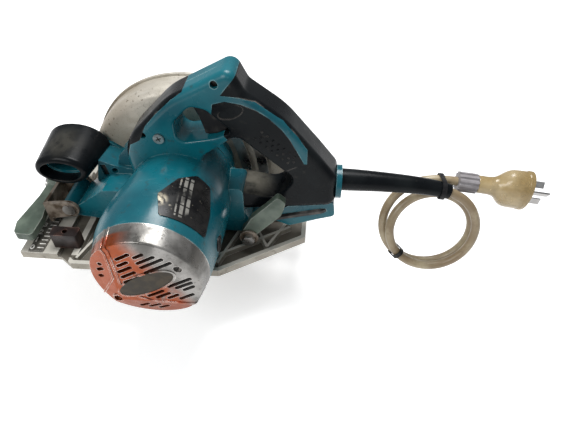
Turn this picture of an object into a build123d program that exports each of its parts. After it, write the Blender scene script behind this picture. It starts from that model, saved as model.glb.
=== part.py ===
from build123d import *
import os
from math import atan2, cos, degrees, hypot, pi, radians, sin, sqrt, tan

# Corded circular saw, in millimetres. X runs from its front to its rear, Y towards the blade side, Z up.
# The sole is Z = 0, the blade turns in the plane Y = 0, and the arbor crosses X = 0 at full depth of cut.

# Fits
RUN_FIT = 0.06  # radial clearance of a turning fit
CLEAR = 0.6  # room between pieces that pass each other

# Blade, arbor and gears
BLADE_D = 185.0
BLADE_PLATE = 1.6
BLADE_TEETH = 24
BLADE_BORE = 15.9
TOOTH_DEPTH = 7.0
ARBOR_Z = 28.5  # above the sole, so that the blade cuts 64 deep
FLANGE_D = 40.0
OUTER_FLANGE_D = 36.0
INNER_FLANGE = 4.2
OUTER_FLANGE = 4.2
SPINDLE_D = 12.0
SPINDLE_NOSE_D = 10.0
BOLT_SHANK_D = 6.0
BOLT_HEAD_D = 16.0
BOLT_HEAD = 5.0
GEAR_MODULE = 1.0
PINION_TEETH = 9
GEAR_TEETH = 44
GEAR_WIDTH = 8.0
GEAR_Y = -26.0  # face of the gears nearest the blade

# Upper and lower guards
GUARD_ROOM = 10.5  # from the blade's teeth to the outside of the upper guard
GUARD_WALL = 3.5
GUARD_NEAR = -18.0
GUARD_FAR = 12.0
GUARD_FOOT = 13.0
GUARD_BEAD = 2.0
GUARD_ROUND = 10.0
LOWER_ROOM = 5.0  # from the blade's teeth to the outside of the lower guard
LOWER_SHEET = 1.5
LOWER_NEAR = -11.0
LOWER_FAR = 7.5
LOWER_START = 183.0
LOWER_SWEEP = 174.0
LOWER_HUB_R = 27.0
LOWER_OPEN_R = 55.0
TAB_INNER_R = 55.0
TAB_OUTER_R = 80.0
TAB_ANGLE = 205.0
TAB_SPREAD = 8.0
TAB_HEIGHT = 5.5
SPRING_WIRE = 2.5
BOSS_D = 40.0  # boss that the lower guard turns on

# Gear housing
GEAR_WALL = 4.0
GEAR_BACK = -40.0
CASE_R = 47.5
NECK_R = 45.0
LUG_DEPTH = 30.0
LOCK_SPOT = (-76.3, 58.5)
LOCK_WIDE = 5.6
LOCK_LONG = 13.6
NECK_Y = -30.0
LOBE_R = 28.0
CASE_FLOOR = 1.5

# Motor
HOUSING_REAR_R = 47.5
BARREL_R = 50.2
HOUSING_REAR = -158.0
HOUSING_WALL = 3.5
HOUSING_FLOOR = 10.0
SHAFT_D = 10.0
CORE_R = 25.0
CORE_FRONT = -68.0
CORE_LENGTH = 50.0
AIR_GAP = 1.0
STATOR_R = 36.5
COMMUTATOR_R = 13.0
COMMUTATOR_FRONT = -124.0
COMMUTATOR_LENGTH = 14.0
FAN_R = 35.0
FAN_FRONT = -50.0
FAN_DEPTH = 9.0
BEARING_R = 11.0
BEARING_LENGTH = 7.0
REAR_BEARING = -145.0
BRUSH_Y = -131.0
BRUSH_CAP_R = 7.0
COVER_DEPTH = 17.0
COVER_FACE_R = 44.0
COVER_WALL = 3.0
COVER_FLOOR = 7.0
COVER_ROUND = 2.0
FACET_SLOPE = 14.0
SIDE_FACET = -26.0
LOW_FACET = 29.0
RIDGE_WIDTH = 1.6
RIDGE_RISE = 0.7
VENT_WIDTH = 3.2
VENT_TURN = 32.0
VENT_X = 2.0
VENT_Z = 54.0
BADGE_LONG = 27.5
BADGE_HIGH = 9.5
BADGE_DROP = 3.0
BADGE_SINK = 1.0
BADGE_SHEET = 1.4
SCREW_BOSS_R = 4.6
COVER_SCREW_R = 3.4
SCREW_SINK = 3.0
DRIVE_LONG = 4.0
DRIVE_WIDE = 1.0
DRIVE_DEEP = 1.4

# Handle
HANDLE_MID = -55.0
HANDLE_WIDTH = 34.0
HANDLE_END = 146.0
HANDLE_ROUND = 7.0
GAP_ROUND = 2.0
SKIN = 2.2
THUMB_DEPTH = 0.8
TRIGGER_WIDTH = 19.0
TRIGGER_TURN = 10.0
SWITCH_LENGTH = 26.0
SWITCH_HEIGHT = 20.0
SWITCH_WIDTH = 18.0
HANDLE_SCREW_D = 6.4
PAN_HEAD_D = 9.5
HOLDER_NEAR = -69.0
HOLDER_FAR = -54.0
KEY_SIZE = 5.0
KEY_LEG = 12.0

# Front knob
KNOB_X = -107.0
KNOB_RISE = 17.0  # above the motor axis
KNOB_NEAR = -70.0
KNOB_FAR = -22.0
KNOB_NEAR_HALF = 25.0
KNOB_NEAR_HIGH = 15.5
KNOB_FAR_HALF = 30.0
KNOB_FAR_HIGH = 21.0
KNOB_CORE_HALF = 19.5
KNOB_CORE_HIGH = 10.5
KNOB_WALL = 2.4
KNOB_ROUND = 5.5
KNOB_CUP_SINK = 12.0

# Base, bevel and depth
BASE_PLATE = 2.5
BASE_RIM = 8.0
RIM_WIDTH = 4.0
RIB_HEIGHT = 8.0
RIB_WIDTH = 2.5
SLOT_FRONT_ROOM = 10.5
SLOT_REAR_ROOM = 9.0
BASE_NOSE = 41.0  # base ahead of its slot
BASE_TAIL = 13.5  # base behind its slot
BASE_RIGHT = 44.0
BASE_LEFT = -114.0
PAD_GAP = 11.0
SLOT_LEFT = -43.0
SLOT_RIGHT = 20.0
RAIL_HEIGHT = 5.0
BEVEL_Z = 8.0
HINGE_PIN_D = 5.0
KNUCKLE_R = 5.0
PIVOT_Z = 32.0
PIVOT_PIN_D = 8.0
DEPTH_BOLT_X = 67.0
DEPTH_BOLT_Z = 17.0
DEPTH_BOLT_D = 6.0
DEPTH_TURN = 25.0
GUIDE_NEAR = -25.0
GUIDE_SHEET = 3.0
GUIDE_BAND = 26.0
BEVEL_BOLT_D = 6.0
BEVEL_BOLT_R = 33.0
BEVEL_BOLT_TURN = 25.0
BEVEL_TURN = 56.0
QUADRANT_R = 42.0
QUADRANT_BAND = 18.0
QUADRANT_AHEAD = 32.0
QUADRANT_THICK = 7.0
BRACKET_SHEET = 3.0
FENCE_BACK = 2.0
FENCE_SLOT = 14.0
FENCE_WALL = 6.0
FENCE_FLOOR = 3.5
CLAMP_Y = -100.0
CLAMP_WIDTH = 12.0
CLAMP_HEIGHT = 17.0
CLAMP_THREAD_D = 5.0
SCALE_SHEET = 1.5
SCALE_BACK = 15.0  # middle of the scale ahead of the pad's rear edge
SCALE_Y = -90.0
SCALE_WIDTH = 14.0
SCALE_LENGTH = 46.0
KNUCKLE_LENGTH = 5.0
REAR_KNUCKLE_GAP = 1.0
EAR_R = 9.0
BRACKET_TOP = 38.0
BRACKET_NEAR = -77.5
BRACKET_FAR = -36.5
GUIDE_END = 5.0
GUIDE_STOP = 1.6
BEVEL_STOP = 7.0
BEVEL_AHEAD = 45.5
BOLT_NEAR = -87.0
WASHER_D = 18.0
WASHER_SHEET = 1.5
LEVER_HUB_D = 16.0
LEVER_THICK = 7.0

# Mains cord
CORD_D = 8.5
COIL_LEAN = 15.0
COIL_START = 15.0
GUARD_END_X = 250.0
GUARD_END_RISE = 5.6
COLLAR_R = 15.5
COLLAR_LENGTH = 5.0
CORD_LEAD = 20.0
PLUG_DROOP = 6.5
TIE_WIDTH = 4.0
TIE_SHEET = 1.2
GUARD_TIE_X = 243.0
GUARD_TIE_RISE = 7.3
GUARD_TIE_R = 7.3
GLAND_D = 18.8
GLAND_LENGTH = 18.0
PIN_WIDTH = 6.35
PIN_THICK = 1.63
PIN_LENGTH = 17.0
PIN_SPREAD = 13.7
PIN_RISE = 4.0
EARTH_DROP = 10.3

# Worked out from the sizes above
GUARD_R = BLADE_D / 2 + GUARD_ROOM
LOWER_R = BLADE_D / 2 + LOWER_ROOM
SLOT_FRONT = -LOWER_R - SLOT_FRONT_ROOM
SLOT_REAR = LOWER_R + SLOT_REAR_ROOM
BASE_FRONT = SLOT_FRONT - BASE_NOSE
BASE_REAR = SLOT_REAR + BASE_TAIL
PAD_REAR = SLOT_FRONT - PAD_GAP
PIVOT_X = SLOT_FRONT
FENCE_X = SLOT_FRONT + FENCE_BACK
QUADRANT_FRONT = SLOT_FRONT - QUADRANT_AHEAD
BEVEL_FRONT = SLOT_FRONT - BEVEL_AHEAD
REAR_KNUCKLE = SLOT_REAR + REAR_KNUCKLE_GAP
MOTOR_Z = ARBOR_Z + GEAR_MODULE * (PINION_TEETH + GEAR_TEETH) / 2
HANDLE_NEAR = HANDLE_MID - HANDLE_WIDTH / 2
HANDLE_FAR = HANDLE_MID + HANDLE_WIDTH / 2
COVER_END = HOUSING_REAR - COVER_DEPTH
GUIDE_BOLT_R = hypot(DEPTH_BOLT_X - PIVOT_X, DEPTH_BOLT_Z - PIVOT_Z)
GUIDE_BOLT_ANGLE = degrees(atan2(DEPTH_BOLT_Z - PIVOT_Z, DEPTH_BOLT_X - PIVOT_X))
BEVEL_BOLT_Y = -BEVEL_BOLT_R * cos(radians(BEVEL_BOLT_TURN))
BEVEL_BOLT_Z = BEVEL_Z + BEVEL_BOLT_R * sin(radians(BEVEL_BOLT_TURN))
BRACKET_FRONT = QUADRANT_FRONT + QUADRANT_THICK + CLEAR
FRONT_KNUCKLE = BRACKET_FRONT
BOSS_NEAR = HANDLE_NEAR
PIECES = {}


def at_y(y):
    """Sketch plane across the saw at y. Its extrusions run towards the motor end."""
    return Plane.XZ.offset(-y)


def at_x(x):
    """Sketch plane along the saw at x. Its extrusions run towards the rear."""
    return Plane.YZ.offset(x)


def body_y(y):
    """Sketch plane across the saw at y, with its origin on the motor axis."""
    return Plane(origin=(0, y, MOTOR_Z), x_dir=(1, 0, 0), z_dir=(0, -1, 0))


def rounded_outline(corners):
    """Closed line through corners that each have a place and a radius."""
    spots = [corner[:2] for corner in corners]
    return FilletPolyline(*spots, radius=[corner[2] for corner in corners], close=True)


def ring_sector(inner, outer, start, sweep):
    """Flat sector of a ring about the sketch's origin, from an angle through a sweep."""
    with BuildSketch(mode=Mode.PRIVATE) as sector:
        with BuildLine():
            outer_arc = CenterArc((0, 0), outer, start, sweep)
            inner_arc = CenterArc((0, 0), inner, start, sweep)
            Line(outer_arc @ 0, inner_arc @ 0)
            Line(outer_arc @ 1, inner_arc @ 1)
        make_face()
    return sector.sketch


# The motor barrel is drawn in between the gear case and the motor.
# Each round section has its y, its shift to the rear and its radius.
BARREL = (
    (GEAR_BACK, 0.5, 46.5), (-70.0, 4.0, 46.0), (-118.0, 0.5, BARREL_R), (HOUSING_REAR, 0.0, HOUSING_REAR_R),
)


def barrel(grow):
    """Round form of the motor barrel, grown by a step."""
    with BuildPart() as form:
        for y, shift, radius in BARREL:
            with BuildSketch(at_y(y)):
                with Locations((shift, MOTOR_Z)):
                    Circle(radius + grow)
        loft()
    return form.part


def turned(points, centre, angle):
    """Points of a side profile turned about a centre."""
    c, s = cos(radians(angle)), sin(radians(angle))
    moved = [(x - centre[0], z - centre[1]) for x, z in points]
    return [(centre[0] + x * c - z * s, centre[1] + x * s + z * c) for x, z in moved]


def gear_profile(teeth, first):
    """Straight-flanked gear outline, with the first tooth at the angle given."""
    pitch_r = GEAR_MODULE * teeth / 2
    root_r = pitch_r - 1.15 * GEAR_MODULE
    tip_r = pitch_r + 0.85 * GEAR_MODULE
    points = []
    for tooth in range(teeth):
        middle = radians(first + 360 * tooth / teeth)
        for radius, side in ((root_r, -0.72), (tip_r, -0.42), (tip_r, 0.42), (root_r, 0.72)):
            angle = middle + side * GEAR_MODULE / radius
            points.append((radius * cos(angle), radius * sin(angle)))
    return points


# Upper guard: a magnesium casting, open below, with a beaded rim on the blade side
with BuildPart() as upper_guard:
    with BuildSketch(at_y(GUARD_FAR)):
        with Locations((0, ARBOR_Z)):
            Circle(GUARD_R)
        with Locations((0, GUARD_FOOT - GUARD_R)):
            Rectangle(3 * GUARD_R, 2 * GUARD_R, mode=Mode.SUBTRACT)
    extrude(amount=GUARD_FAR - GUARD_NEAR)
    near_face = upper_guard.faces().sort_by(Axis.Y)[0]
    fillet(near_face.edges().filter_by(GeomType.CIRCLE), GUARD_ROUND)
    with BuildSketch(at_y(GUARD_FAR)):
        with Locations((0, ARBOR_Z)):
            Circle(GUARD_R + GUARD_BEAD)
        with Locations((0, GUARD_FOOT - GUARD_R)):
            Rectangle(3 * GUARD_R, 2 * GUARD_R, mode=Mode.SUBTRACT)
    extrude(amount=GUARD_WALL)
    with BuildSketch(at_y(GUARD_FAR - GUARD_WALL)):
        with Locations((0, ARBOR_Z)):
            Circle(GUARD_R - GUARD_WALL)
    extrude(amount=GUARD_FAR - GUARD_NEAR - 2 * GUARD_WALL, mode=Mode.SUBTRACT)
    with BuildSketch(at_y(GUARD_FAR)):
        with Locations((0, ARBOR_Z)):
            Circle(BOSS_D)
    extrude(amount=GUARD_WALL, mode=Mode.SUBTRACT)
    with BuildSketch(at_y(GUARD_NEAR + GUARD_WALL)):
        with Locations((0, ARBOR_Z)):
            Circle(BOSS_D / 2)
    extrude(amount=GUARD_WALL, mode=Mode.SUBTRACT)
PIECES["upper_guard"] = upper_guard

# Outer form of the motor housing, used to seat its neighbours
outer_barrel = barrel(0)
with BuildPart() as housing_form:
    add(outer_barrel)
    with Locations((0, HOUSING_REAR, HOUSING_FLOOR)):
        Box(400, 400, 200, align=(Align.CENTER, Align.CENTER, Align.MAX), mode=Mode.SUBTRACT)
    with BuildSketch(at_y(GEAR_BACK - 4)):
        with Locations((48, 46)):
            RectangleRounded(28, 40, 5)
    extrude(amount=HANDLE_FAR - HANDLE_NEAR - 4)
    with BuildSketch(at_y(GEAR_BACK - 4)):
        with Locations((DEPTH_BOLT_X, DEPTH_BOLT_Z)):
            Circle(9)
        with BuildLine():
            Polyline((20, 11), (60, 10.5), (67, 26), (60, 40), (38, 40), close=True)
        make_face()
    extrude(amount=HANDLE_FAR - HANDLE_NEAR - 6)

# Space inside the motor housing
inner_barrel = barrel(-HOUSING_WALL)
with BuildPart() as hollow:
    add(inner_barrel)
    with Locations((0, HOUSING_REAR, HOUSING_FLOOR + HOUSING_WALL)):
        Box(400, 400, 200, align=(Align.CENTER, Align.CENTER, Align.MAX), mode=Mode.SUBTRACT)

# Ribs that hold the field ring in the housing
with BuildPart() as field_ribs:
    with BuildSketch(at_y(CORE_FRONT)):
        with Locations((0, MOTOR_Z)):
            with PolarLocations(BARREL_R, 4, 45):
                Rectangle(2 * BARREL_R, 6)
            Circle(STATOR_R, mode=Mode.SUBTRACT)
    extrude(amount=CORE_LENGTH)
    add(hollow.part, mode=Mode.INTERSECT)

# Spider that holds the rear bearing and lets the cooling air past
with BuildPart() as bearing_spider:
    with BuildSketch(at_y(REAR_BEARING)):
        with Locations((0, MOTOR_Z)):
            Circle(BARREL_R)
            Circle(BEARING_R, mode=Mode.SUBTRACT)
            with PolarLocations(26, 6):
                Circle(9, mode=Mode.SUBTRACT)
    extrude(amount=BEARING_LENGTH)
    add(hollow.part, mode=Mode.INTERSECT)

# Motor housing: a tapered shell with a flat underside, a boss for the depth bolt and a socket for the handle
with BuildPart() as motor_housing:
    add(housing_form.part)
    add(hollow.part, mode=Mode.SUBTRACT)
    add(field_ribs.part)
    add(bearing_spider.part)
    with BuildSketch(Plane.YZ):
        with Locations((BRUSH_Y, MOTOR_Z)):
            Circle(BRUSH_CAP_R)
    extrude(amount=2 * BARREL_R, both=True, mode=Mode.SUBTRACT)
    with BuildSketch(at_y(0)):
        with Locations((DEPTH_BOLT_X, DEPTH_BOLT_Z)):
            Circle(DEPTH_BOLT_D / 2)
    extrude(amount=200, mode=Mode.SUBTRACT)
PIECES["motor_housing"] = motor_housing

# End cover: a bright cast cap with slanted rows of vent slots, a flat middle and two facets that fall away.
# Each vent has its place along and across the slanted rows, and its length.
VENTS = (
    (2.5, 31.6, 15), (-3.2, 25.5, 12), (-6.4, 19.9, 15), (-8.3, 14.0, 16), (-9.8, 8.3, 18),
    (14.3, 26.7, 11), (16.0, 20.7, 19), (17.6, 15.7, 24), (18.8, 9.7, 28),
    (21.9, -11.7, 25), (23.0, -15.9, 18), (24.5, -20.4, 12.5), (16.1, -28.0, 15.6),
    (-4.6, -13.6, 18), (-0.6, -18.4, 16), (6.0, -23.1, 12.5),
    (-25.7, -22.6, 11), (-18.5, -27.3, 14), (-13.0, -32.4, 12),
    (-21.5, 32.6, 4.5), (-26.0, 27.9, 8), (-31.8, 21.5, 6),
)
RIDGES = (
    ((-32, 100), (-25.6, 84.6), (-25.7, 56.5), (-44, 26)),
    ((-27, 101), (-22, 87.3), (-21.6, 44.5), (-9.6, 34.4), (0.4, 30.4), (46, 29.4)),
)
SCREW_SPOTS = ((28, 71.8), (-27.8, 30.2))
FACET_FALL = tan(radians(FACET_SLOPE))


def cover_form(lift):
    """Outer form of the end cover, all its faces lifted by the same step."""
    face = COVER_END - lift
    with BuildPart() as form:
        with BuildSketch(at_y(HOUSING_REAR)):
            with Locations((0, MOTOR_Z)):
                Circle(HOUSING_REAR_R + lift)
        with BuildSketch(at_y(face)):
            with Locations((0, MOTOR_Z)):
                Circle(COVER_FACE_R + lift)
        loft(ruled=True)
        with Locations((0, COVER_END, HOUSING_FLOOR)):
            Box(400, 400, 200, align=(Align.CENTER, Align.CENTER, Align.MAX), mode=Mode.SUBTRACT)
        rim = form.faces().sort_by(Axis.Y)[0].edges()
        fillet(rim.filter_by(GeomType.CIRCLE), COVER_ROUND)
        with BuildSketch():
            with BuildLine():
                Polyline(
                    (SIDE_FACET, face), (2 * SIDE_FACET, face - SIDE_FACET * FACET_FALL),
                    (2 * SIDE_FACET, 2 * face), (SIDE_FACET, 2 * face), close=True,
                )
            make_face()
        extrude(amount=200, mode=Mode.SUBTRACT)
        with BuildSketch(Plane.YZ):
            with BuildLine():
                Polyline(
                    (face, LOW_FACET), (face + LOW_FACET * FACET_FALL, 0), (2 * face, 0),
                    (2 * face, LOW_FACET), close=True,
                )
            make_face()
        extrude(amount=100, both=True, mode=Mode.SUBTRACT)
    return form.part


with BuildPart() as cover_ridges:
    with BuildSketch(at_y(HOUSING_REAR)):
        for ridge in RIDGES:
            with BuildLine():
                ridge_line = Polyline(*ridge)
            trace(ridge_line, line_width=RIDGE_WIDTH)
        with Locations(Location((0, MOTOR_Z - BADGE_DROP), VENT_TURN)):
            Ellipse(BADGE_LONG + RIDGE_WIDTH, BADGE_HIGH + RIDGE_WIDTH)
    extrude(amount=2 * COVER_DEPTH)
    add(cover_form(RIDGE_RISE), mode=Mode.INTERSECT)

with BuildPart() as motor_end_cover:
    add(cover_form(0))
    add(cover_ridges.part)
    with BuildSketch(at_y(HOUSING_REAR)):
        with Locations(*SCREW_SPOTS):
            Circle(SCREW_BOSS_R)
    extrude(amount=COVER_DEPTH)
    with BuildSketch(at_y(HOUSING_REAR)):
        with Locations((0, MOTOR_Z)):
            Circle(COVER_FACE_R - COVER_WALL)
    extrude(amount=COVER_DEPTH - COVER_FLOOR, mode=Mode.SUBTRACT)
    with BuildSketch(at_y(HOUSING_REAR)):
        with Locations(Location((VENT_X, VENT_Z), VENT_TURN)):
            for along, across, length in VENTS:
                with Locations((along, across)):
                    SlotOverall(length, VENT_WIDTH)
    extrude(amount=2 * COVER_DEPTH, mode=Mode.SUBTRACT)
    with BuildSketch(at_y(HOUSING_REAR)):
        with Locations(*SCREW_SPOTS):
            Circle(SCREW_BOSS_R)
    extrude(amount=COVER_DEPTH - COVER_FLOOR)
    with BuildSketch(at_y(HOUSING_REAR)):
        with Locations(*SCREW_SPOTS):
            Circle(COVER_SCREW_R)
    extrude(amount=2 * COVER_DEPTH, mode=Mode.SUBTRACT)
    with BuildSketch(at_y(COVER_END + BADGE_SINK)):
        with Locations(Location((0, MOTOR_Z - BADGE_DROP), VENT_TURN)):
            Ellipse(BADGE_LONG, BADGE_HIGH)
    extrude(amount=2 * BADGE_SINK + RIDGE_RISE, mode=Mode.SUBTRACT)
PIECES["motor_end_cover"] = motor_end_cover

# Bare oval badge in the end cover
with BuildPart() as end_cover_badge:
    with BuildSketch(at_y(COVER_END + BADGE_SINK)):
        with Locations(Location((0, MOTOR_Z - BADGE_DROP), VENT_TURN)):
            Ellipse(BADGE_LONG, BADGE_HIGH)
    extrude(amount=BADGE_SHEET)
PIECES["end_cover_badge"] = end_cover_badge

# Two screws sunk in the end cover
with BuildPart() as end_cover_screws:
    with BuildSketch(at_y(HOUSING_REAR)):
        with Locations(*SCREW_SPOTS):
            Circle(COVER_SCREW_R)
    extrude(amount=COVER_DEPTH - SCREW_SINK)
    with BuildSketch(at_y(COVER_END + SCREW_SINK)):
        with Locations(*SCREW_SPOTS):
            Rectangle(DRIVE_LONG, DRIVE_WIDE)
            Rectangle(DRIVE_WIDE, DRIVE_LONG)
    extrude(amount=-DRIVE_DEEP, mode=Mode.SUBTRACT)
PIECES["end_cover_screws"] = end_cover_screws

# Bare rating plate on the rear shoulder of the motor housing
PLATE_TURN = 35.0
PLATE_LIFT = 0.2  # glue under the plate
PLATE_SHEET = 0.6
plate_top = barrel(PLATE_LIFT + PLATE_SHEET)
plate_bed = barrel(PLATE_LIFT)
with BuildPart() as rating_plate:
    add(plate_top)
    add(plate_bed, mode=Mode.SUBTRACT)
    plate_plane = Plane(
        origin=(0, 0, MOTOR_Z),
        x_dir=(cos(radians(PLATE_TURN)), 0, -sin(radians(PLATE_TURN))),
        z_dir=(sin(radians(PLATE_TURN)), 0, cos(radians(PLATE_TURN))),
    )
    with BuildSketch(plate_plane) as plate_outline:
        with BuildLine():
            Polyline(
                (-24, -128), (-14, -106), (0, -94), (14, -98), (21, -124), (23, -147), (-18, -149),
                close=True,
            )
        make_face()
        fillet(plate_outline.vertices(), 3)
    extrude(amount=100, mode=Mode.INTERSECT)
PIECES["rating_plate"] = rating_plate

# Gear housing: painted casting between guard and motor, with the front lug, the pivot arm and the knob seat
with BuildPart() as gear_housing:
    with BuildSketch(at_y(NECK_Y)):
        with Locations((0, MOTOR_Z)):
            Circle(CASE_R)
        with Locations((0, HOUSING_FLOOR - 100)):
            Rectangle(400, 200, mode=Mode.SUBTRACT)
    extrude(amount=NECK_Y - GEAR_BACK)
    with BuildSketch(at_y(GUARD_NEAR)):
        with Locations((0, MOTOR_Z)):
            Circle(NECK_R)
        with Locations((0, ARBOR_Z)):
            Circle(LOBE_R)
        with Locations((0, CASE_FLOOR - 100)):
            Rectangle(400, 200, mode=Mode.SUBTRACT)
    extrude(amount=GUARD_NEAR - GEAR_BACK)
    with BuildSketch(at_y(GUARD_NEAR)):
        with BuildLine():
            Polyline((-83, 36), (-86.5, 46), (-80, 70.5), (-64.5, 64.5), (-40, 60.5), (-30, 36), close=True)
        make_face()
    extrude(amount=LUG_DEPTH)
    with BuildSketch(at_y(GUARD_NEAR - 6)):
        with BuildLine():
            Polyline((-65, 58), (-60, 74), (-48, 87), (-34, 92), (-28, 56), close=True)
        make_face()
    extrude(amount=LUG_DEPTH - 10)
    with BuildSketch(at_y(GUARD_NEAR)):
        with BuildLine():
            Polyline((-106, 60), (-106, 78), (-76, 72), (-60, 60), close=True)
        make_face()
    extrude(amount=GUARD_NEAR - KNOB_FAR)
    with BuildSketch(at_y(BRACKET_FAR - BRACKET_SHEET - CLEAR)):
        with Locations((PIVOT_X, PIVOT_Z)):
            Circle(EAR_R - 1)
        with BuildLine():
            Polyline(
                (PIVOT_X, 22), (-50, 16), (-50, 56), (-71, 55), (PIVOT_X + 7, 34), (PIVOT_X, 40), close=True,
            )
        make_face()
    extrude(amount=BRACKET_FAR - BRACKET_NEAR - 2 * BRACKET_SHEET - 2 * CLEAR)
    add(housing_form.part, mode=Mode.SUBTRACT)
    with BuildSketch(at_y(GEAR_BACK)):
        with Locations((0, MOTOR_Z)):
            Circle(BEARING_R + 3)
    extrude(amount=5)
    with BuildSketch(at_y(GUARD_NEAR + 10)):
        with Locations((0, ARBOR_Z)):
            Circle(BOSS_D / 2)
    extrude(amount=10)
    with BuildSketch(at_y(GUARD_NEAR - GEAR_WALL)):
        with Locations((0, ARBOR_Z)):
            Circle(GEAR_MODULE * GEAR_TEETH / 2 + 2.5)
        with Locations((0, MOTOR_Z)):
            Circle(8)
    extrude(amount=14, mode=Mode.SUBTRACT)
    with BuildSketch(at_y(GUARD_NEAR + 9)):
        with Locations((0, ARBOR_Z)):
            Circle(15)
    extrude(amount=8, mode=Mode.SUBTRACT)
    with BuildSketch(at_y(0)):
        with Locations((0, ARBOR_Z)):
            Circle(10)
    extrude(amount=100, mode=Mode.SUBTRACT)
    with BuildSketch(at_y(GEAR_BACK + 3)):
        with Locations((0, MOTOR_Z)):
            Circle(BEARING_R)
    extrude(amount=20, mode=Mode.SUBTRACT)
    with BuildSketch(at_y(NECK_Y)):
        with Locations((0, MOTOR_Z)):
            Circle(SHAFT_D / 2 + CLEAR)
    extrude(amount=20, mode=Mode.SUBTRACT)
    with BuildSketch(at_y(0)):
        with Locations((PIVOT_X, PIVOT_Z)):
            Circle(PIVOT_PIN_D / 2 + RUN_FIT)
    extrude(amount=200, mode=Mode.SUBTRACT)
    with BuildSketch(at_y(GUARD_NEAR - LUG_DEPTH)):
        with Locations(Location(LOCK_SPOT, 8)):
            Rectangle(LOCK_WIDE, LOCK_LONG)
        with Locations((-66, 59)):
            Circle(3.0)
    extrude(amount=-12, mode=Mode.SUBTRACT)
PIECES["gear_housing"] = gear_housing

# Shaft lock button in the lug's slot
with BuildPart() as shaft_lock:
    with BuildSketch(at_y(GUARD_NEAR - LUG_DEPTH + 6)):
        with Locations(Location(LOCK_SPOT, 8)):
            Rectangle(LOCK_WIDE - CLEAR, LOCK_LONG - CLEAR)
    extrude(amount=4)
PIECES["shaft_lock"] = shaft_lock

# Spindle with its gear, flanges, blade and bolt
NOSE_Y = -BLADE_PLATE / 2 - INNER_FLANGE
with BuildPart() as spindle:
    with BuildSketch(at_y(NOSE_Y)):
        with Locations((0, ARBOR_Z)):
            Circle(SPINDLE_D / 2)
    extrude(amount=NOSE_Y - GEAR_BACK - 0.5)
    with BuildSketch(at_y(BLADE_PLATE / 2 + OUTER_FLANGE - 1)):
        with Locations((0, ARBOR_Z)):
            Circle(SPINDLE_NOSE_D / 2)
    extrude(amount=BLADE_PLATE / 2 + OUTER_FLANGE - 1 - NOSE_Y)
    with BuildSketch(at_y(20)):
        with Locations((0, ARBOR_Z)):
            Circle(BOLT_SHANK_D / 2)
    extrude(amount=32, mode=Mode.SUBTRACT)
PIECES["spindle"] = spindle

with BuildPart() as spindle_gear:
    with BuildSketch(at_y(GEAR_Y)):
        with Locations((0, ARBOR_Z)):
            Polygon(*gear_profile(GEAR_TEETH, 90 + 180 / GEAR_TEETH), align=None)
            Circle(SPINDLE_D / 2, mode=Mode.SUBTRACT)
    extrude(amount=GEAR_WIDTH)
PIECES["spindle_gear"] = spindle_gear

with BuildPart() as inner_flange:
    with BuildSketch(at_y(-BLADE_PLATE / 2)):
        with Locations((0, ARBOR_Z)):
            Circle(FLANGE_D / 2 - 1)
    extrude(amount=INNER_FLANGE)
    with BuildSketch(at_y(BLADE_PLATE / 2 - 0.2)):
        with Locations((0, ARBOR_Z)):
            Circle(BLADE_BORE / 2)
    extrude(amount=BLADE_PLATE - 0.2)
    with BuildSketch(at_y(10)):
        with Locations((0, ARBOR_Z)):
            Circle(SPINDLE_NOSE_D / 2)
    extrude(amount=20, mode=Mode.SUBTRACT)
PIECES["inner_flange"] = inner_flange

with BuildPart() as blade:
    with BuildSketch(at_y(BLADE_PLATE / 2)):
        teeth = []
        for tooth in range(BLADE_TEETH):
            start = -360 * tooth / BLADE_TEETH
            pitch = 360 / BLADE_TEETH
            for share, radius in (
                (0.0, BLADE_D / 2),
                (0.06, BLADE_D / 2 - TOOTH_DEPTH),
                (0.3, BLADE_D / 2 - TOOTH_DEPTH - 2),
                (0.55, BLADE_D / 2 - TOOTH_DEPTH + 2),
                (0.75, BLADE_D / 2 - 1.6),
            ):
                angle = radians(start - share * pitch)
                teeth.append((radius * cos(angle), radius * sin(angle)))
        with Locations((0, ARBOR_Z)):
            Polygon(*teeth, align=None)
            Circle(BLADE_BORE / 2, mode=Mode.SUBTRACT)
    extrude(amount=BLADE_PLATE)
PIECES["blade"] = blade

with BuildPart() as outer_flange:
    with BuildSketch(at_y(BLADE_PLATE / 2 + OUTER_FLANGE)):
        with Locations((0, ARBOR_Z)):
            Circle(OUTER_FLANGE_D / 2)
    extrude(amount=OUTER_FLANGE)
    chamfer(outer_flange.faces().sort_by(Axis.Y)[-1].edges(), 1.5)
    with BuildSketch(at_y(20)):
        with Locations((0, ARBOR_Z)):
            Circle(SPINDLE_NOSE_D / 2)
    extrude(amount=40, mode=Mode.SUBTRACT)
PIECES["outer_flange"] = outer_flange

with BuildPart() as blade_bolt:
    with BuildSketch(at_y(BLADE_PLATE / 2 + OUTER_FLANGE + BOLT_HEAD)):
        with Locations((0, ARBOR_Z)):
            RegularPolygon(BOLT_HEAD_D / 2, 6)
    extrude(amount=BOLT_HEAD)
    with BuildSketch(at_y(BLADE_PLATE / 2 + OUTER_FLANGE)):
        with Locations((0, ARBOR_Z)):
            Circle(BOLT_SHANK_D / 2)
    extrude(amount=14)
PIECES["blade_bolt"] = blade_bolt

# Bearings of the spindle and of the motor shaft
with BuildPart() as spindle_bearings:
    with BuildSketch(at_y(GUARD_NEAR + 9)):
        with Locations((0, ARBOR_Z)):
            Circle(15)
            Circle(SPINDLE_D / 2 + RUN_FIT, mode=Mode.SUBTRACT)
    extrude(amount=8)
    with BuildSketch(at_y(GEAR_BACK + GEAR_WALL)):
        with Locations((0, ARBOR_Z)):
            Circle(10)
            Circle(SPINDLE_D / 2 + RUN_FIT, mode=Mode.SUBTRACT)
    extrude(amount=GEAR_WALL)
PIECES["spindle_bearings"] = spindle_bearings

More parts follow.
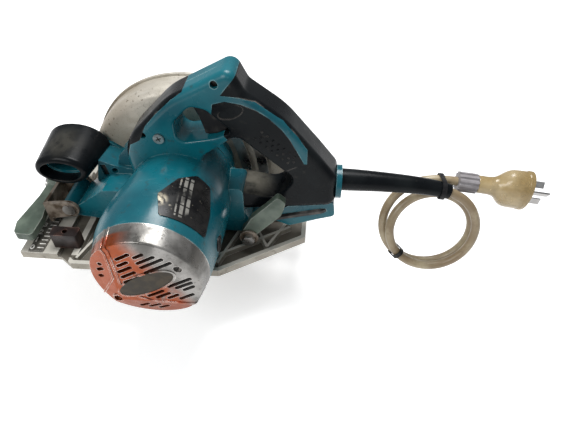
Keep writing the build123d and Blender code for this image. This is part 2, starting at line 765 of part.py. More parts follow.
with BuildPart() as motor_bearings:
    for face_y in (GEAR_BACK + 3, REAR_BEARING):
        with BuildSketch(at_y(face_y)):
            with Locations((0, MOTOR_Z)):
                Circle(BEARING_R)
                Circle(SHAFT_D / 2 + RUN_FIT, mode=Mode.SUBTRACT)
        extrude(amount=BEARING_LENGTH)
PIECES["motor_bearings"] = motor_bearings

# Motor shaft with its pinion, and what turns with it
with BuildPart() as armature_shaft:
    with BuildSketch(at_y(GEAR_BACK + 3.5)):
        with Locations((0, MOTOR_Z)):
            Circle(SHAFT_D / 2)
    extrude(amount=GEAR_BACK + 3.5 - REAR_BEARING + BEARING_LENGTH)
    with BuildSketch(at_y(GEAR_Y + 1)):
        with Locations((0, MOTOR_Z)):
            Polygon(*gear_profile(PINION_TEETH, 270), align=None)
    extrude(amount=GEAR_Y + 1 - GEAR_BACK - 3.5)
PIECES["armature_shaft"] = armature_shaft

with BuildPart() as armature_core:
    with BuildSketch(at_y(CORE_FRONT)):
        with Locations((0, MOTOR_Z)):
            Circle(CORE_R)
            with PolarLocations(CORE_R, 12):
                Rectangle(8, 2.4, mode=Mode.SUBTRACT)
            Circle(SHAFT_D / 2, mode=Mode.SUBTRACT)
    extrude(amount=CORE_LENGTH)
PIECES["armature_core"] = armature_core

with BuildPart() as commutator:
    with BuildSketch(at_y(COMMUTATOR_FRONT)):
        with Locations((0, MOTOR_Z)):
            Circle(COMMUTATOR_R)
            Circle(SHAFT_D / 2, mode=Mode.SUBTRACT)
    extrude(amount=COMMUTATOR_LENGTH)
PIECES["commutator"] = commutator

with BuildPart() as motor_fan:
    with BuildSketch(at_y(FAN_FRONT)):
        with Locations((0, MOTOR_Z)):
            Circle(FAN_R)
            Circle(SHAFT_D / 2, mode=Mode.SUBTRACT)
    extrude(amount=2)
    with BuildSketch(at_y(FAN_FRONT - 2)):
        with Locations((0, MOTOR_Z)):
            with PolarLocations(25, 12):
                Rectangle(24, 1.6)
            Circle(SHAFT_D / 2 + 4)
            Circle(SHAFT_D / 2, mode=Mode.SUBTRACT)
    extrude(amount=FAN_DEPTH - 2)
PIECES["motor_fan"] = motor_fan

# Field ring, brushes with their holders, and brush caps
with BuildPart() as field_stator:
    with BuildSketch(at_y(CORE_FRONT)):
        with Locations((0, MOTOR_Z)):
            Circle(STATOR_R)
            Circle(CORE_R + AIR_GAP, mode=Mode.SUBTRACT)
    extrude(amount=CORE_LENGTH)
PIECES["field_stator"] = field_stator

CAP_INNER = BARREL_R - HOUSING_WALL - 2.5
with BuildPart() as carbon_brushes:
    for side in (-1, 1):
        with BuildSketch(at_x(side * (COMMUTATOR_R + 0.3))):
            with Locations((BRUSH_Y, MOTOR_Z)):
                Rectangle(6, 9)
        extrude(amount=side * 18)
PIECES["carbon_brushes"] = carbon_brushes

with BuildPart() as brush_holders:
    for side in (-1, 1):
        with BuildSketch(at_x(side * (COMMUTATOR_R + 4))):
            with Locations((BRUSH_Y, MOTOR_Z)):
                Rectangle(9, 12)
                Rectangle(6, 9, mode=Mode.SUBTRACT)
        extrude(amount=side * (CAP_INNER - COMMUTATOR_R - 4))
PIECES["brush_holders"] = brush_holders

with BuildPart() as brush_caps:
    for side in (-1, 1):
        with BuildSketch(at_x(side * CAP_INNER)):
            with Locations((BRUSH_Y, MOTOR_Z)):
                Circle(BRUSH_CAP_R)
        extrude(amount=side * (HOUSING_WALL + 3))
    for side in (-1, 1):
        with BuildSketch(at_x(side * (CAP_INNER + HOUSING_WALL + 3))):
            with Locations((BRUSH_Y, MOTOR_Z)):
                Rectangle(1.6, 10)
        extrude(amount=-side * 1.2, mode=Mode.SUBTRACT)
PIECES["brush_caps"] = brush_caps

# Lower guard: a sheet cup that turns on the boss of the gear housing
with BuildPart() as lower_guard:
    with BuildSketch(at_y(LOWER_NEAR + LOWER_SHEET)):
        with Locations((0, ARBOR_Z)):
            add(ring_sector(BOSS_D / 2, LOWER_R, LOWER_START, LOWER_SWEEP))
            Circle(LOWER_HUB_R)
            Circle(BOSS_D / 2 + RUN_FIT, mode=Mode.SUBTRACT)
    extrude(amount=LOWER_SHEET)
    with BuildSketch(at_y(LOWER_FAR)):
        with Locations((0, ARBOR_Z)):
            add(ring_sector(LOWER_R - LOWER_SHEET, LOWER_R, LOWER_START, LOWER_SWEEP))
    extrude(amount=LOWER_FAR - LOWER_NEAR)
    with BuildSketch(at_y(LOWER_FAR)):
        with Locations((0, ARBOR_Z)):
            add(ring_sector(LOWER_OPEN_R, LOWER_R, LOWER_START, LOWER_SWEEP))
    extrude(amount=LOWER_SHEET)
PIECES["lower_guard"] = lower_guard

# Finger tab that draws the lower guard back
with BuildPart() as lower_guard_lever:
    with BuildSketch(at_y(LOWER_NEAR)) as tab_outline:
        with Locations((0, ARBOR_Z)):
            add(ring_sector(TAB_INNER_R, TAB_OUTER_R, TAB_ANGLE, TAB_SPREAD))
        fillet(tab_outline.vertices(), 2)
    extrude(amount=TAB_HEIGHT)
PIECES["lower_guard_lever"] = lower_guard_lever

# Return spring of the lower guard, round the boss
with BuildPart() as lower_guard_spring:
    with BuildSketch(at_y(LOWER_NEAR - CLEAR)):
        with Locations((0, ARBOR_Z)):
            Circle(BOSS_D / 2 + SPRING_WIRE)
            Circle(BOSS_D / 2, mode=Mode.SUBTRACT)
    extrude(amount=SPRING_WIRE)
PIECES["lower_guard_spring"] = lower_guard_spring

# Handle loop, drawn from the motor axis: x, height and corner radius
HANDLE_OUTLINE = (
    (-38, 18, 9), (-42, 52, 45), (4, 98, 70), (59, 127.5, 9), (69.5, 106.5, 12), (100, 84, 90),
    (130, 47, 60), (HANDLE_END, 26, 10), (HANDLE_END, -6, 9), (126, -9, 30), (62, -17, 30), (15, -17, 9),
)
HAND_GAP = ((28, 12, 6), (92, 1.5, 14), (110, 24, 9), (60, 68, 9), (28, 44, 8))
FINGER_GAP = ((8, 57, 8), (8.5, 78, 10), (24, 94, 10), (37, 91, 10), (57, 71, 3.5), (42, 64, 25))


def handle_face(y, inset=0):
    """Side profile of the handle loop at y, drawn in by an inset."""
    with BuildSketch(body_y(y), mode=Mode.PRIVATE) as profile:
        with BuildLine():
            rounded_outline(HANDLE_OUTLINE)
        make_face()
        for gap in (HAND_GAP, FINGER_GAP):
            with BuildLine():
                rounded_outline(gap)
            make_face(mode=Mode.SUBTRACT)
        if inset:
            offset(amount=-inset)
    return profile.sketch


def area(*points):
    """Face of a straight-sided area of the handle's side view, on the handle's far plane."""
    with BuildSketch(body_y(HANDLE_FAR + CLEAR), mode=Mode.PRIVATE) as face:
        with BuildLine():
            Polyline(*points, close=True)
        make_face()
    return face.sketch


with BuildPart() as handle_form:
    extrude(handle_face(HANDLE_FAR), amount=HANDLE_WIDTH)
    for side in (0, -1):
        flank = handle_form.faces().filter_by(Axis.Y).sort_by(Axis.Y)[side]
        fillet(flank.outer_wire().edges(), HANDLE_ROUND)
    for side in (0, -1):
        flank = handle_form.faces().filter_by(Axis.Y).sort_by(Axis.Y)[side]
        fillet([edge for wire in flank.inner_wires() for edge in wire.edges()], GAP_ROUND)
    with BuildSketch(body_y(HANDLE_NEAR + THUMB_DEPTH)):
        with Locations(Location((57, 90), 24)):
            Ellipse(11, 5.5)
    extrude(amount=2 * THUMB_DEPTH, mode=Mode.SUBTRACT)

# Full form of the gear housing's rear disc, which the handle seats on
with BuildPart() as case_form:
    with BuildSketch(at_y(NECK_Y)):
        with Locations((0, MOTOR_Z)):
            Circle(CASE_R)
    extrude(amount=NECK_Y - GEAR_BACK)

# Plastic under the rubber skin
with BuildPart() as handle_core:
    extrude(handle_face(HANDLE_FAR - SKIN, SKIN), amount=HANDLE_WIDTH - 2 * SKIN)
    for side in (0, -1):
        flank = handle_core.faces().filter_by(Axis.Y).sort_by(Axis.Y)[side]
        fillet(flank.outer_wire().edges(), HANDLE_ROUND - SKIN)

# Trigger, and the room that it swings in
TRIGGER_HINGE = (30, 96)
TRIGGER_PROFILE = ((25, 88), (30, 77), (32, 69), (33, 64), (42, 65), (50, 69), (60, 80), (52, 95), (30, 95))
with BuildPart() as trigger:
    with BuildSketch(body_y(HANDLE_MID + TRIGGER_WIDTH / 2)) as trigger_outline:
        with BuildLine():
            Polyline(*TRIGGER_PROFILE, close=True)
        make_face()
    extrude(amount=TRIGGER_WIDTH)
    finger_edges = trigger.edges().filter_by(GeomType.LINE).filter_by(Axis.Y, reverse=True).sort_by(Axis.X)
    fillet(finger_edges[0:4], 2)
PIECES["trigger"] = trigger

with BuildPart() as trigger_room:
    with BuildSketch(body_y(HANDLE_MID + TRIGGER_WIDTH / 2 + CLEAR)):
        for share in (0, 0.5, 1):
            with BuildLine():
                Polyline(*turned(TRIGGER_PROFILE, TRIGGER_HINGE, share * TRIGGER_TURN), close=True)
            make_face()
        offset(amount=CLEAR)
    extrude(amount=TRIGGER_WIDTH + 2 * CLEAR)

# Switch behind the trigger
with BuildPart() as trigger_switch:
    with BuildSketch(body_y(HANDLE_MID + SWITCH_WIDTH / 2)):
        with Locations(Location((78, 81), -38)):
            Rectangle(SWITCH_LENGTH, SWITCH_HEIGHT)
    extrude(amount=SWITCH_WIDTH)
PIECES["trigger_switch"] = trigger_switch

# Black areas of the handle in the side view
BLACK_AREA = area(
    (50, 105), (57, 114), (64, 122), (72, 140), (170, 140), (170, -40), (50, -40), (50, 20), (92, 28),
    (117, 42), (113, 58), (100, 79), (86, 91), (66, 101),
)
STRIPE_AREA = area(
    (43, 97), (50, 105), (64, 104), (76.7, 99.4), (84.8, 93.5), (92.8, 87.6), (98.9, 83), (105.2, 75.3),
    (111.5, 67.6), (116.5, 60), (119.5, 56), (119.5, 42), (117, 42), (111, 54), (105, 66), (98, 76),
    (88, 86), (78, 93), (66, 98), (53, 100),
)
SIDE_AREA = area(
    (43, 97), (53, 100), (66, 98), (78, 93), (88, 86), (98, 76), (105, 66), (111, 54), (117, 42),
    (92, 28), (70, 50), (55, 60), (40, 80),
)
FRONT_AREA = area(
    (-33, 53), (-23, 59), (-16, 73), (-5, 85), (9, 98), (19, 105), (21, 111), (10, 140),
    (-70, 100), (-60, 34), (-40, 34),
)

with BuildPart() as rubber_skin:
    add(handle_form.part)
    add(handle_core.part, mode=Mode.SUBTRACT)
    add(trigger_room.part, mode=Mode.SUBTRACT)
    add(housing_form.part, mode=Mode.SUBTRACT)
    add(gear_housing.part, mode=Mode.SUBTRACT)
    add(case_form.part, mode=Mode.SUBTRACT)

with BuildPart() as grip_side_pad:
    extrude(SIDE_AREA, amount=HANDLE_WIDTH + 2 * CLEAR)
    add(rubber_skin.part, mode=Mode.INTERSECT)
PIECES["grip_side_pad"] = grip_side_pad

with BuildPart() as rear_grip:
    extrude(BLACK_AREA, amount=HANDLE_WIDTH + 2 * CLEAR)
    extrude(STRIPE_AREA, amount=HANDLE_WIDTH + 2 * CLEAR, mode=Mode.SUBTRACT)
    extrude(SIDE_AREA, amount=HANDLE_WIDTH + 2 * CLEAR, mode=Mode.SUBTRACT)
    add(rubber_skin.part, mode=Mode.INTERSECT)
PIECES["rear_grip"] = rear_grip

with BuildPart() as front_arm_pad:
    extrude(FRONT_AREA, amount=HANDLE_WIDTH + 2 * CLEAR)
    add(rubber_skin.part, mode=Mode.INTERSECT)
PIECES["front_arm_pad"] = front_arm_pad

# Screws of the handle: three sunk in the near shell, and one pan head on the front arm
HANDLE_SCREW_SPOTS = ((46, 114), (-20, 64), (122, 38))
PAN_SPOT = (-6, 62)
with BuildPart() as handle_screws:
    with BuildSketch(body_y(HANDLE_NEAR + 16)):
        with Locations(*HANDLE_SCREW_SPOTS):
            Circle(HANDLE_SCREW_D / 2)
    extrude(amount=12)
    with BuildSketch(body_y(HANDLE_NEAR + 12)):
        with Locations(PAN_SPOT):
            Circle(HANDLE_SCREW_D / 2)
    extrude(amount=12)
    with BuildSketch(body_y(HANDLE_NEAR)):
        with Locations(PAN_SPOT):
            Circle(PAN_HEAD_D / 2)
    extrude(amount=1.6)
PIECES["handle_screws"] = handle_screws

# Plastic halves of the handle, split along its middle
with BuildPart() as handle_plastic:
    add(handle_form.part)
    add(housing_form.part, mode=Mode.SUBTRACT)
    add(gear_housing.part, mode=Mode.SUBTRACT)
    add(case_form.part, mode=Mode.SUBTRACT)
    for pad in (rear_grip, grip_side_pad, front_arm_pad):
        add(pad.part, mode=Mode.SUBTRACT)
    add(trigger_room.part, mode=Mode.SUBTRACT)
    add(trigger_switch.part, mode=Mode.SUBTRACT)
    with BuildSketch(body_y(HANDLE_NEAR + 16)):
        with Locations(*HANDLE_SCREW_SPOTS):
            Circle(HANDLE_SCREW_D / 2)
    extrude(amount=20, mode=Mode.SUBTRACT)
    with BuildSketch(body_y(HANDLE_NEAR + 12)):
        with Locations(PAN_SPOT):
            Circle(HANDLE_SCREW_D / 2)
    extrude(amount=20, mode=Mode.SUBTRACT)
with BuildPart() as handle_left_shell:
    add(handle_plastic.part)
    split(bisect_by=at_y(HANDLE_MID), keep=Keep.TOP)
PIECES["handle_left_shell"] = handle_left_shell
with BuildPart() as handle_right_shell:
    add(handle_plastic.part)
    split(bisect_by=at_y(HANDLE_MID), keep=Keep.BOTTOM)
PIECES["handle_right_shell"] = handle_right_shell

# Front knob: a rubber grip round a plastic cup that is open towards the motor end
with BuildPart() as front_knob_rubber:
    with BuildSketch(body_y(KNOB_FAR)):
        with Locations((KNOB_X, KNOB_RISE)):
            Ellipse(KNOB_FAR_HALF, KNOB_FAR_HIGH)
    with BuildSketch(body_y(KNOB_NEAR)):
        with Locations((KNOB_X, KNOB_RISE)):
            Ellipse(KNOB_NEAR_HALF, KNOB_NEAR_HIGH)
    loft()
    fillet(front_knob_rubber.faces().sort_by(Axis.Y)[0].edges(), KNOB_ROUND)
    with BuildSketch(body_y(KNOB_FAR)):
        with Locations((KNOB_X, KNOB_RISE)):
            Ellipse(KNOB_CORE_HALF, KNOB_CORE_HIGH)
    extrude(amount=100, mode=Mode.SUBTRACT)
    add(gear_housing.part, mode=Mode.SUBTRACT)
PIECES["front_knob_rubber"] = front_knob_rubber

with BuildPart() as front_knob_core:
    with BuildSketch(body_y(KNOB_FAR)):
        with Locations((KNOB_X, KNOB_RISE)):
            Ellipse(KNOB_CORE_HALF, KNOB_CORE_HIGH)
    extrude(amount=KNOB_FAR - KNOB_NEAR - KNOB_CUP_SINK)
    with BuildSketch(body_y(KNOB_FAR - 2 * KNOB_WALL)):
        with Locations((KNOB_X, KNOB_RISE)):
            Ellipse(KNOB_CORE_HALF - KNOB_WALL, KNOB_CORE_HIGH - KNOB_WALL)
    extrude(amount=100, mode=Mode.SUBTRACT)
PIECES["front_knob_core"] = front_knob_core

# Holder under the lower arm, and the hex key that it keeps
KEY_BEND = (138, -13)
KEY_START = (88, -27)
with BuildPart() as hex_key_form:
    with BuildLine() as key_path:
        FilletPolyline(
            (KEY_START[0], HOLDER_NEAR, MOTOR_Z + KEY_START[1]),
            (KEY_BEND[0], HOLDER_NEAR, MOTOR_Z + KEY_BEND[1]),
            (KEY_BEND[0], HOLDER_NEAR + KEY_LEG, MOTOR_Z + KEY_BEND[1]),
            radius=KEY_SIZE,
        )
    with BuildSketch(Plane(origin=key_path.line @ 0, z_dir=key_path.line % 0)):
        RegularPolygon(KEY_SIZE / 2, 6, major_radius=False)
    sweep()
with BuildPart() as hex_key_holder:
    with BuildSketch(body_y(HOLDER_FAR)) as holder_outline:
        with BuildLine():
            rounded_outline(
                (
                    (90, -30, 3), (98, -14, 5), (112, -4, 6), (145, -4, 3), (147, -20, 5), (132, -25, 20),
                    (104, -36, 6),
                )
            )
        make_face()
    extrude(amount=HOLDER_FAR - HOLDER_NEAR)
    add(handle_form.part, mode=Mode.SUBTRACT)
    add(hex_key_form.part, mode=Mode.SUBTRACT)
PIECES["hex_key_holder"] = hex_key_holder
PIECES["hex_key"] = hex_key_form

# Base: a ribbed casting with a slot for the blade and a channel for the rip fence
BASE_OUTLINE = (
    (BASE_FRONT, BASE_LEFT), (SLOT_FRONT - 2, BASE_LEFT), (-96, BASE_LEFT - 10), (43, BASE_LEFT - 8),
    (BASE_REAR, -73), (BASE_REAR, BASE_RIGHT), (BASE_FRONT, BASE_RIGHT),
)
RIB_LINES = (
    ((-93, -117), (-70, -46)), ((-30, -118), (-70, -46)), ((-30, -118), (0, -46)), ((40, -112), (0, -46)),
    ((40, -112), (62, -46)), ((84, -88), (62, -46)), ((84, -88), (104, -46)), ((36, -104), (104, -60)),
)
with BuildPart() as base_plate:
    with BuildSketch():
        with BuildLine():
            Polyline(*BASE_OUTLINE, close=True)
        make_face()
    extrude(amount=BASE_PLATE)
    with BuildSketch():
        with BuildLine():
            Polyline(*BASE_OUTLINE, close=True)
        make_face()
        offset(amount=-RIM_WIDTH, mode=Mode.SUBTRACT, kind=Kind.INTERSECTION)
    extrude(amount=BASE_RIM)
    with BuildSketch():
        with Locations(((BASE_FRONT + PAD_REAR) / 2, (BASE_LEFT + BASE_RIGHT) / 2)):
            Rectangle(PAD_REAR - BASE_FRONT, BASE_RIGHT - BASE_LEFT)
        with Locations((FENCE_X, (BASE_LEFT + SLOT_LEFT) / 2)):
            Rectangle(FENCE_SLOT + 2 * FENCE_WALL, SLOT_LEFT - BASE_LEFT)
        with Locations(((SLOT_REAR + BASE_REAR) / 2, 0)):
            Rectangle(BASE_REAR - SLOT_REAR, 2 * KNUCKLE_R + 10)
        with Locations(((SLOT_FRONT + SLOT_REAR) / 2, SLOT_LEFT - RIM_WIDTH / 2)):
            Rectangle(SLOT_REAR - SLOT_FRONT, RIM_WIDTH)
    extrude(amount=BASE_RIM)
    with BuildSketch():
        for rib_start, rib_end in RIB_LINES:
            with BuildLine():
                rib = Line(rib_start, rib_end)
            trace(rib, line_width=RIB_WIDTH)
    extrude(amount=RIB_HEIGHT)
    with BuildSketch(Plane.XY.offset(RAIL_HEIGHT)):
        with Locations(((SLOT_FRONT + SLOT_REAR) / 2, BASE_RIGHT)):
            Rectangle(SLOT_REAR - SLOT_FRONT, 2 * (BASE_RIGHT - SLOT_RIGHT))
    extrude(amount=BASE_RIM, mode=Mode.SUBTRACT)
    with BuildSketch():
        with Locations(((SLOT_FRONT + SLOT_REAR) / 2, (SLOT_LEFT + SLOT_RIGHT) / 2)):
            RectangleRounded(SLOT_REAR - SLOT_FRONT, SLOT_RIGHT - SLOT_LEFT, 6)
    extrude(amount=2 * BASE_RIM, mode=Mode.SUBTRACT)
    with BuildSketch(Plane.XY.offset(FENCE_FLOOR)):
        with Locations((FENCE_X, SLOT_LEFT - 50)):
            Rectangle(FENCE_SLOT, 140)
    extrude(amount=2 * BASE_RIM, mode=Mode.SUBTRACT)
    for knuckle_start, boss_start, boss_end in (
        (FRONT_KNUCKLE, FRONT_KNUCKLE + KNUCKLE_LENGTH + CLEAR, PAD_REAR),
        (REAR_KNUCKLE, REAR_KNUCKLE + KNUCKLE_LENGTH + CLEAR, BASE_REAR),
    ):
        with BuildSketch(at_x(boss_start)):
            with Locations((0, BEVEL_Z)):
                Circle(KNUCKLE_R)
        extrude(amount=boss_end - boss_start)
        with BuildSketch(at_x(knuckle_start - 1)):
            with Locations((0, BEVEL_Z)):
                Circle(KNUCKLE_R + CLEAR)
        extrude(amount=boss_start - knuckle_start + 1, mode=Mode.SUBTRACT)
        with BuildSketch(at_x(knuckle_start)):
            with Locations((0, BEVEL_Z)):
                Circle(HINGE_PIN_D / 2 + RUN_FIT)
        extrude(amount=boss_end - knuckle_start, mode=Mode.SUBTRACT)
PIECES["base_plate"] = base_plate

# Clamp block over the fence channel, tapped for the clamping screw
with BuildPart() as fence_clamp_block:
    with BuildSketch(Plane.XY.offset(BASE_RIM)):
        with Locations((FENCE_X, CLAMP_Y)):
            Rectangle(FENCE_SLOT + 2 * FENCE_WALL, CLAMP_WIDTH)
            Circle(CLAMP_THREAD_D / 2, mode=Mode.SUBTRACT)
    extrude(amount=CLAMP_HEIGHT)
    upright = fence_clamp_block.edges().filter_by(Axis.Z).group_by(SortBy.LENGTH)[-1]
    fillet(upright.filter_by(GeomType.LINE), 2)
PIECES["fence_clamp_block"] = fence_clamp_block

# Rip scale strip on the front pad
with BuildPart() as rip_scale:
    with BuildSketch(Plane.XY.offset(BASE_RIM)):
        with Locations((PAD_REAR - SCALE_BACK, SCALE_Y)):
            Rectangle(SCALE_WIDTH, SCALE_LENGTH)
    extrude(amount=SCALE_SHEET)
    with BuildSketch(Plane.XY.offset(BASE_RIM + SCALE_SHEET)):
        with Locations((PAD_REAR - SCALE_BACK + 5, SCALE_Y)):
            with GridLocations(0, 5, 1, 9):
                Rectangle(5, 1)
    extrude(amount=0.5)
PIECES["rip_scale"] = rip_scale

# Bevel quadrant that stands on the base, with its curved slot
with BuildPart() as bevel_quadrant:
    with BuildSketch(at_x(QUADRANT_FRONT)):
        with Locations((0, BEVEL_Z)):
            add(ring_sector(QUADRANT_R - QUADRANT_BAND, QUADRANT_R, 90, 90))
            add(
                ring_sector(
                    BEVEL_BOLT_R - BEVEL_BOLT_D / 2 - CLEAR, BEVEL_BOLT_R + BEVEL_BOLT_D / 2 + CLEAR,
                    180 - BEVEL_BOLT_TURN - BEVEL_TURN - BEVEL_STOP, BEVEL_TURN + 2 * BEVEL_STOP,
                ),
                mode=Mode.SUBTRACT,
            )
    extrude(amount=QUADRANT_THICK)
PIECES["bevel_quadrant"] = bevel_quadrant

# Front bracket: a folded plate with two ears for the depth pivot and a knuckle for the bevel hinge
with BuildPart() as front_bracket:
    with BuildSketch(at_x(BRACKET_FRONT)):
        with BuildLine():
            Polyline(
                (BRACKET_NEAR, 14), (BRACKET_NEAR, BRACKET_TOP), (BRACKET_FAR, BRACKET_TOP), (-6, 20),
                (KNUCKLE_R - 1, BEVEL_Z + 3), (KNUCKLE_R, BEVEL_Z), (-KNUCKLE_R, BEVEL_Z),
                (-12, BEVEL_Z + 2.5), (-60, BEVEL_Z + 2.5), close=True,
            )
        make_face()
        with Locations((0, BEVEL_Z)):
            Circle(KNUCKLE_R)
    extrude(amount=BRACKET_SHEET)
    with BuildSketch(at_x(BRACKET_FRONT)):
        with Locations((0, BEVEL_Z)):
            Circle(KNUCKLE_R)
    extrude(amount=KNUCKLE_LENGTH)
    for ear_far in (BRACKET_FAR, BRACKET_NEAR + BRACKET_SHEET):
        with BuildSketch(at_y(ear_far)):
            with BuildLine():
                Polyline(
                    (BRACKET_FRONT, 18), (BRACKET_FRONT, BRACKET_TOP), (PIVOT_X, PIVOT_Z + EAR_R),
                    (PIVOT_X, PIVOT_Z - EAR_R),
                    close=True,
                )
            make_face()
            with Locations((PIVOT_X, PIVOT_Z)):
                Circle(EAR_R)
        extrude(amount=BRACKET_SHEET)
    with BuildSketch(at_y(0)):
        with Locations((PIVOT_X, PIVOT_Z)):
            Circle(PIVOT_PIN_D / 2)
    extrude(amount=200, mode=Mode.SUBTRACT)
    with BuildSketch(at_x(BRACKET_FRONT - 1)):
        with Locations((0, BEVEL_Z)):
            Circle(HINGE_PIN_D / 2)
        with Locations((BEVEL_BOLT_Y, BEVEL_BOLT_Z)):
            Circle(BEVEL_BOLT_D / 2)
    extrude(amount=20, mode=Mode.SUBTRACT)
PIECES["front_bracket"] = front_bracket

with BuildPart() as pivot_pin:
    with BuildSketch(at_y(BRACKET_FAR + 1)):
        with Locations((PIVOT_X, PIVOT_Z)):
            Circle(PIVOT_PIN_D / 2)
    extrude(amount=BRACKET_FAR - BRACKET_NEAR + 2)
    with BuildSketch(at_y(BRACKET_NEAR)):
        with Locations((PIVOT_X, PIVOT_Z)):
            Circle(PIVOT_PIN_D / 2 + 2)
    extrude(amount=2)
PIECES["pivot_pin"] = pivot_pin

with BuildPart() as hinge_pins:
    for pin_start, pin_end in ((FRONT_KNUCKLE, PAD_REAR), (REAR_KNUCKLE, BASE_REAR)):
        with BuildSketch(at_x(pin_start)):
            with Locations((0, BEVEL_Z)):
                Circle(HINGE_PIN_D / 2)
        extrude(amount=pin_end - pin_start)
PIECES["hinge_pins"] = hinge_pins

# Depth guide: a slotted arc about the depth pivot, on a foot that hinges on the base
with BuildPart() as depth_guide:
    with BuildSketch(at_y(GUIDE_NEAR + GUIDE_SHEET)):
        with Locations((PIVOT_X, PIVOT_Z)):
            add(
                ring_sector(
                    GUIDE_BOLT_R - GUIDE_BAND / 2, GUIDE_BOLT_R + GUIDE_BAND / 2,
                    GUIDE_BOLT_ANGLE - GUIDE_END, DEPTH_TURN + 2 * GUIDE_END,
                )
            )
        with BuildLine():
            Polyline(
                (DEPTH_BOLT_X, 8), (DEPTH_BOLT_X, 24), (REAR_KNUCKLE, 24), (REAR_KNUCKLE, BEVEL_Z + 2.5),
                (90, 8),
                close=True,
            )
        make_face()
        with Locations((PIVOT_X, PIVOT_Z)):
            add(
                ring_sector(
                    GUIDE_BOLT_R - DEPTH_BOLT_D / 2 - CLEAR, GUIDE_BOLT_R + DEPTH_BOLT_D / 2 + CLEAR,
                    GUIDE_BOLT_ANGLE - GUIDE_STOP, DEPTH_TURN + 2 * GUIDE_STOP,
                ),
                mode=Mode.SUBTRACT,
            )
    extrude(amount=GUIDE_SHEET)
    with BuildSketch(at_x(REAR_KNUCKLE)):
        with BuildLine():
            Polyline(
                (GUIDE_NEAR, BEVEL_Z + 2.5), (GUIDE_NEAR, 24), (-6, 24), (KNUCKLE_R - 1, BEVEL_Z + 3),
                (KNUCKLE_R, BEVEL_Z),
                (-KNUCKLE_R, BEVEL_Z), (-8, BEVEL_Z + 2.5), close=True,
            )
        make_face()
        with Locations((0, BEVEL_Z)):
            Circle(KNUCKLE_R)
    extrude(amount=GUIDE_SHEET)
    with BuildSketch(at_x(REAR_KNUCKLE)):
        with Locations((0, BEVEL_Z)):
            Circle(KNUCKLE_R)
    extrude(amount=KNUCKLE_LENGTH)
    with BuildSketch(at_x(REAR_KNUCKLE)):
        with Locations((0, BEVEL_Z)):
            Circle(HINGE_PIN_D / 2)
    extrude(amount=20, mode=Mode.SUBTRACT)
PIECES["depth_guide"] = depth_guide

# Depth bolt through the boss of the motor housing, with its washer and lever
with BuildPart() as depth_bolt:
    with BuildSketch(at_y(GUIDE_NEAR + GUIDE_SHEET)):
        with Locations((DEPTH_BOLT_X, DEPTH_BOLT_Z)):
            Circle(DEPTH_BOLT_D / 2)
    extrude(amount=GUIDE_NEAR + GUIDE_SHEET - BOLT_NEAR)
    with BuildSketch(at_y(GUIDE_NEAR + GUIDE_SHEET + 2.5)):
        with Locations((DEPTH_BOLT_X, DEPTH_BOLT_Z)):
            Circle(DEPTH_BOLT_D / 2 + 3)
    extrude(amount=2.5)
    with BuildSketch(at_y(BOLT_NEAR)):
        with Locations((DEPTH_BOLT_X, DEPTH_BOLT_Z)):
            RegularPolygon(DEPTH_BOLT_D, 6)
    extrude(amount=5)
PIECES["depth_bolt"] = depth_bolt

with BuildPart() as depth_washer:
    with BuildSketch(at_y(BOLT_NEAR + WASHER_SHEET)):
        with Locations((DEPTH_BOLT_X, DEPTH_BOLT_Z)):
            Circle(WASHER_D / 2)
            Circle(DEPTH_BOLT_D / 2, mode=Mode.SUBTRACT)
    extrude(amount=WASHER_SHEET)
PIECES["depth_washer"] = depth_washer

LEVER_NEAR = BOLT_NEAR + WASHER_SHEET + CLEAR / 2
with BuildPart() as depth_lever:
    with BuildSketch(at_y(BOSS_NEAR - CLEAR / 2)):
        with Locations((DEPTH_BOLT_X, DEPTH_BOLT_Z)):
            Circle(LEVER_HUB_D / 2)
    extrude(amount=BOSS_NEAR - CLEAR / 2 - LEVER_NEAR)
    with BuildSketch(at_y(LEVER_NEAR + LEVER_THICK)):
        with BuildLine():
            rounded_outline(
                tuple(
                    (DEPTH_BOLT_X + x, DEPTH_BOLT_Z + z, r)
                    for x, z, r in (
                        (-4, -6, 2), (6, 2, 3), (14, 11, 8), (31, 30, 10), (35, 45, 3), (28, 52, 3),
                        (17, 39, 12), (3, 24, 12), (-7, 5, 3),
                    )
                )
            )
        make_face()
    extrude(amount=LEVER_THICK)
    with BuildSketch(at_y(0)):
        with Locations((DEPTH_BOLT_X, DEPTH_BOLT_Z)):
            Circle(DEPTH_BOLT_D / 2 + RUN_FIT)
    extrude(amount=200, mode=Mode.SUBTRACT)
PIECES["depth_lever"] = depth_lever

# Bevel bolt with its nut behind the bracket, and the flat lever that tightens it
with BuildPart() as bevel_bolt:
    with BuildSketch(at_x(BEVEL_FRONT)):
        with Locations((BEVEL_BOLT_Y, BEVEL_BOLT_Z)):
            Circle(BEVEL_BOLT_D)
    extrude(amount=3)
    with BuildSketch(at_x(BEVEL_FRONT)):
        with Locations((BEVEL_BOLT_Y, BEVEL_BOLT_Z)):
            Circle(BEVEL_BOLT_D / 2)
    extrude(amount=BRACKET_FRONT + BRACKET_SHEET + 6 - BEVEL_FRONT)
    with BuildSketch(at_x(BRACKET_FRONT + BRACKET_SHEET)):
        with Locations((BEVEL_BOLT_Y, BEVEL_BOLT_Z)):
            RegularPolygon(BEVEL_BOLT_D, 6)
    extrude(amount=5)
PIECES["bevel_bolt"] = bevel_bolt

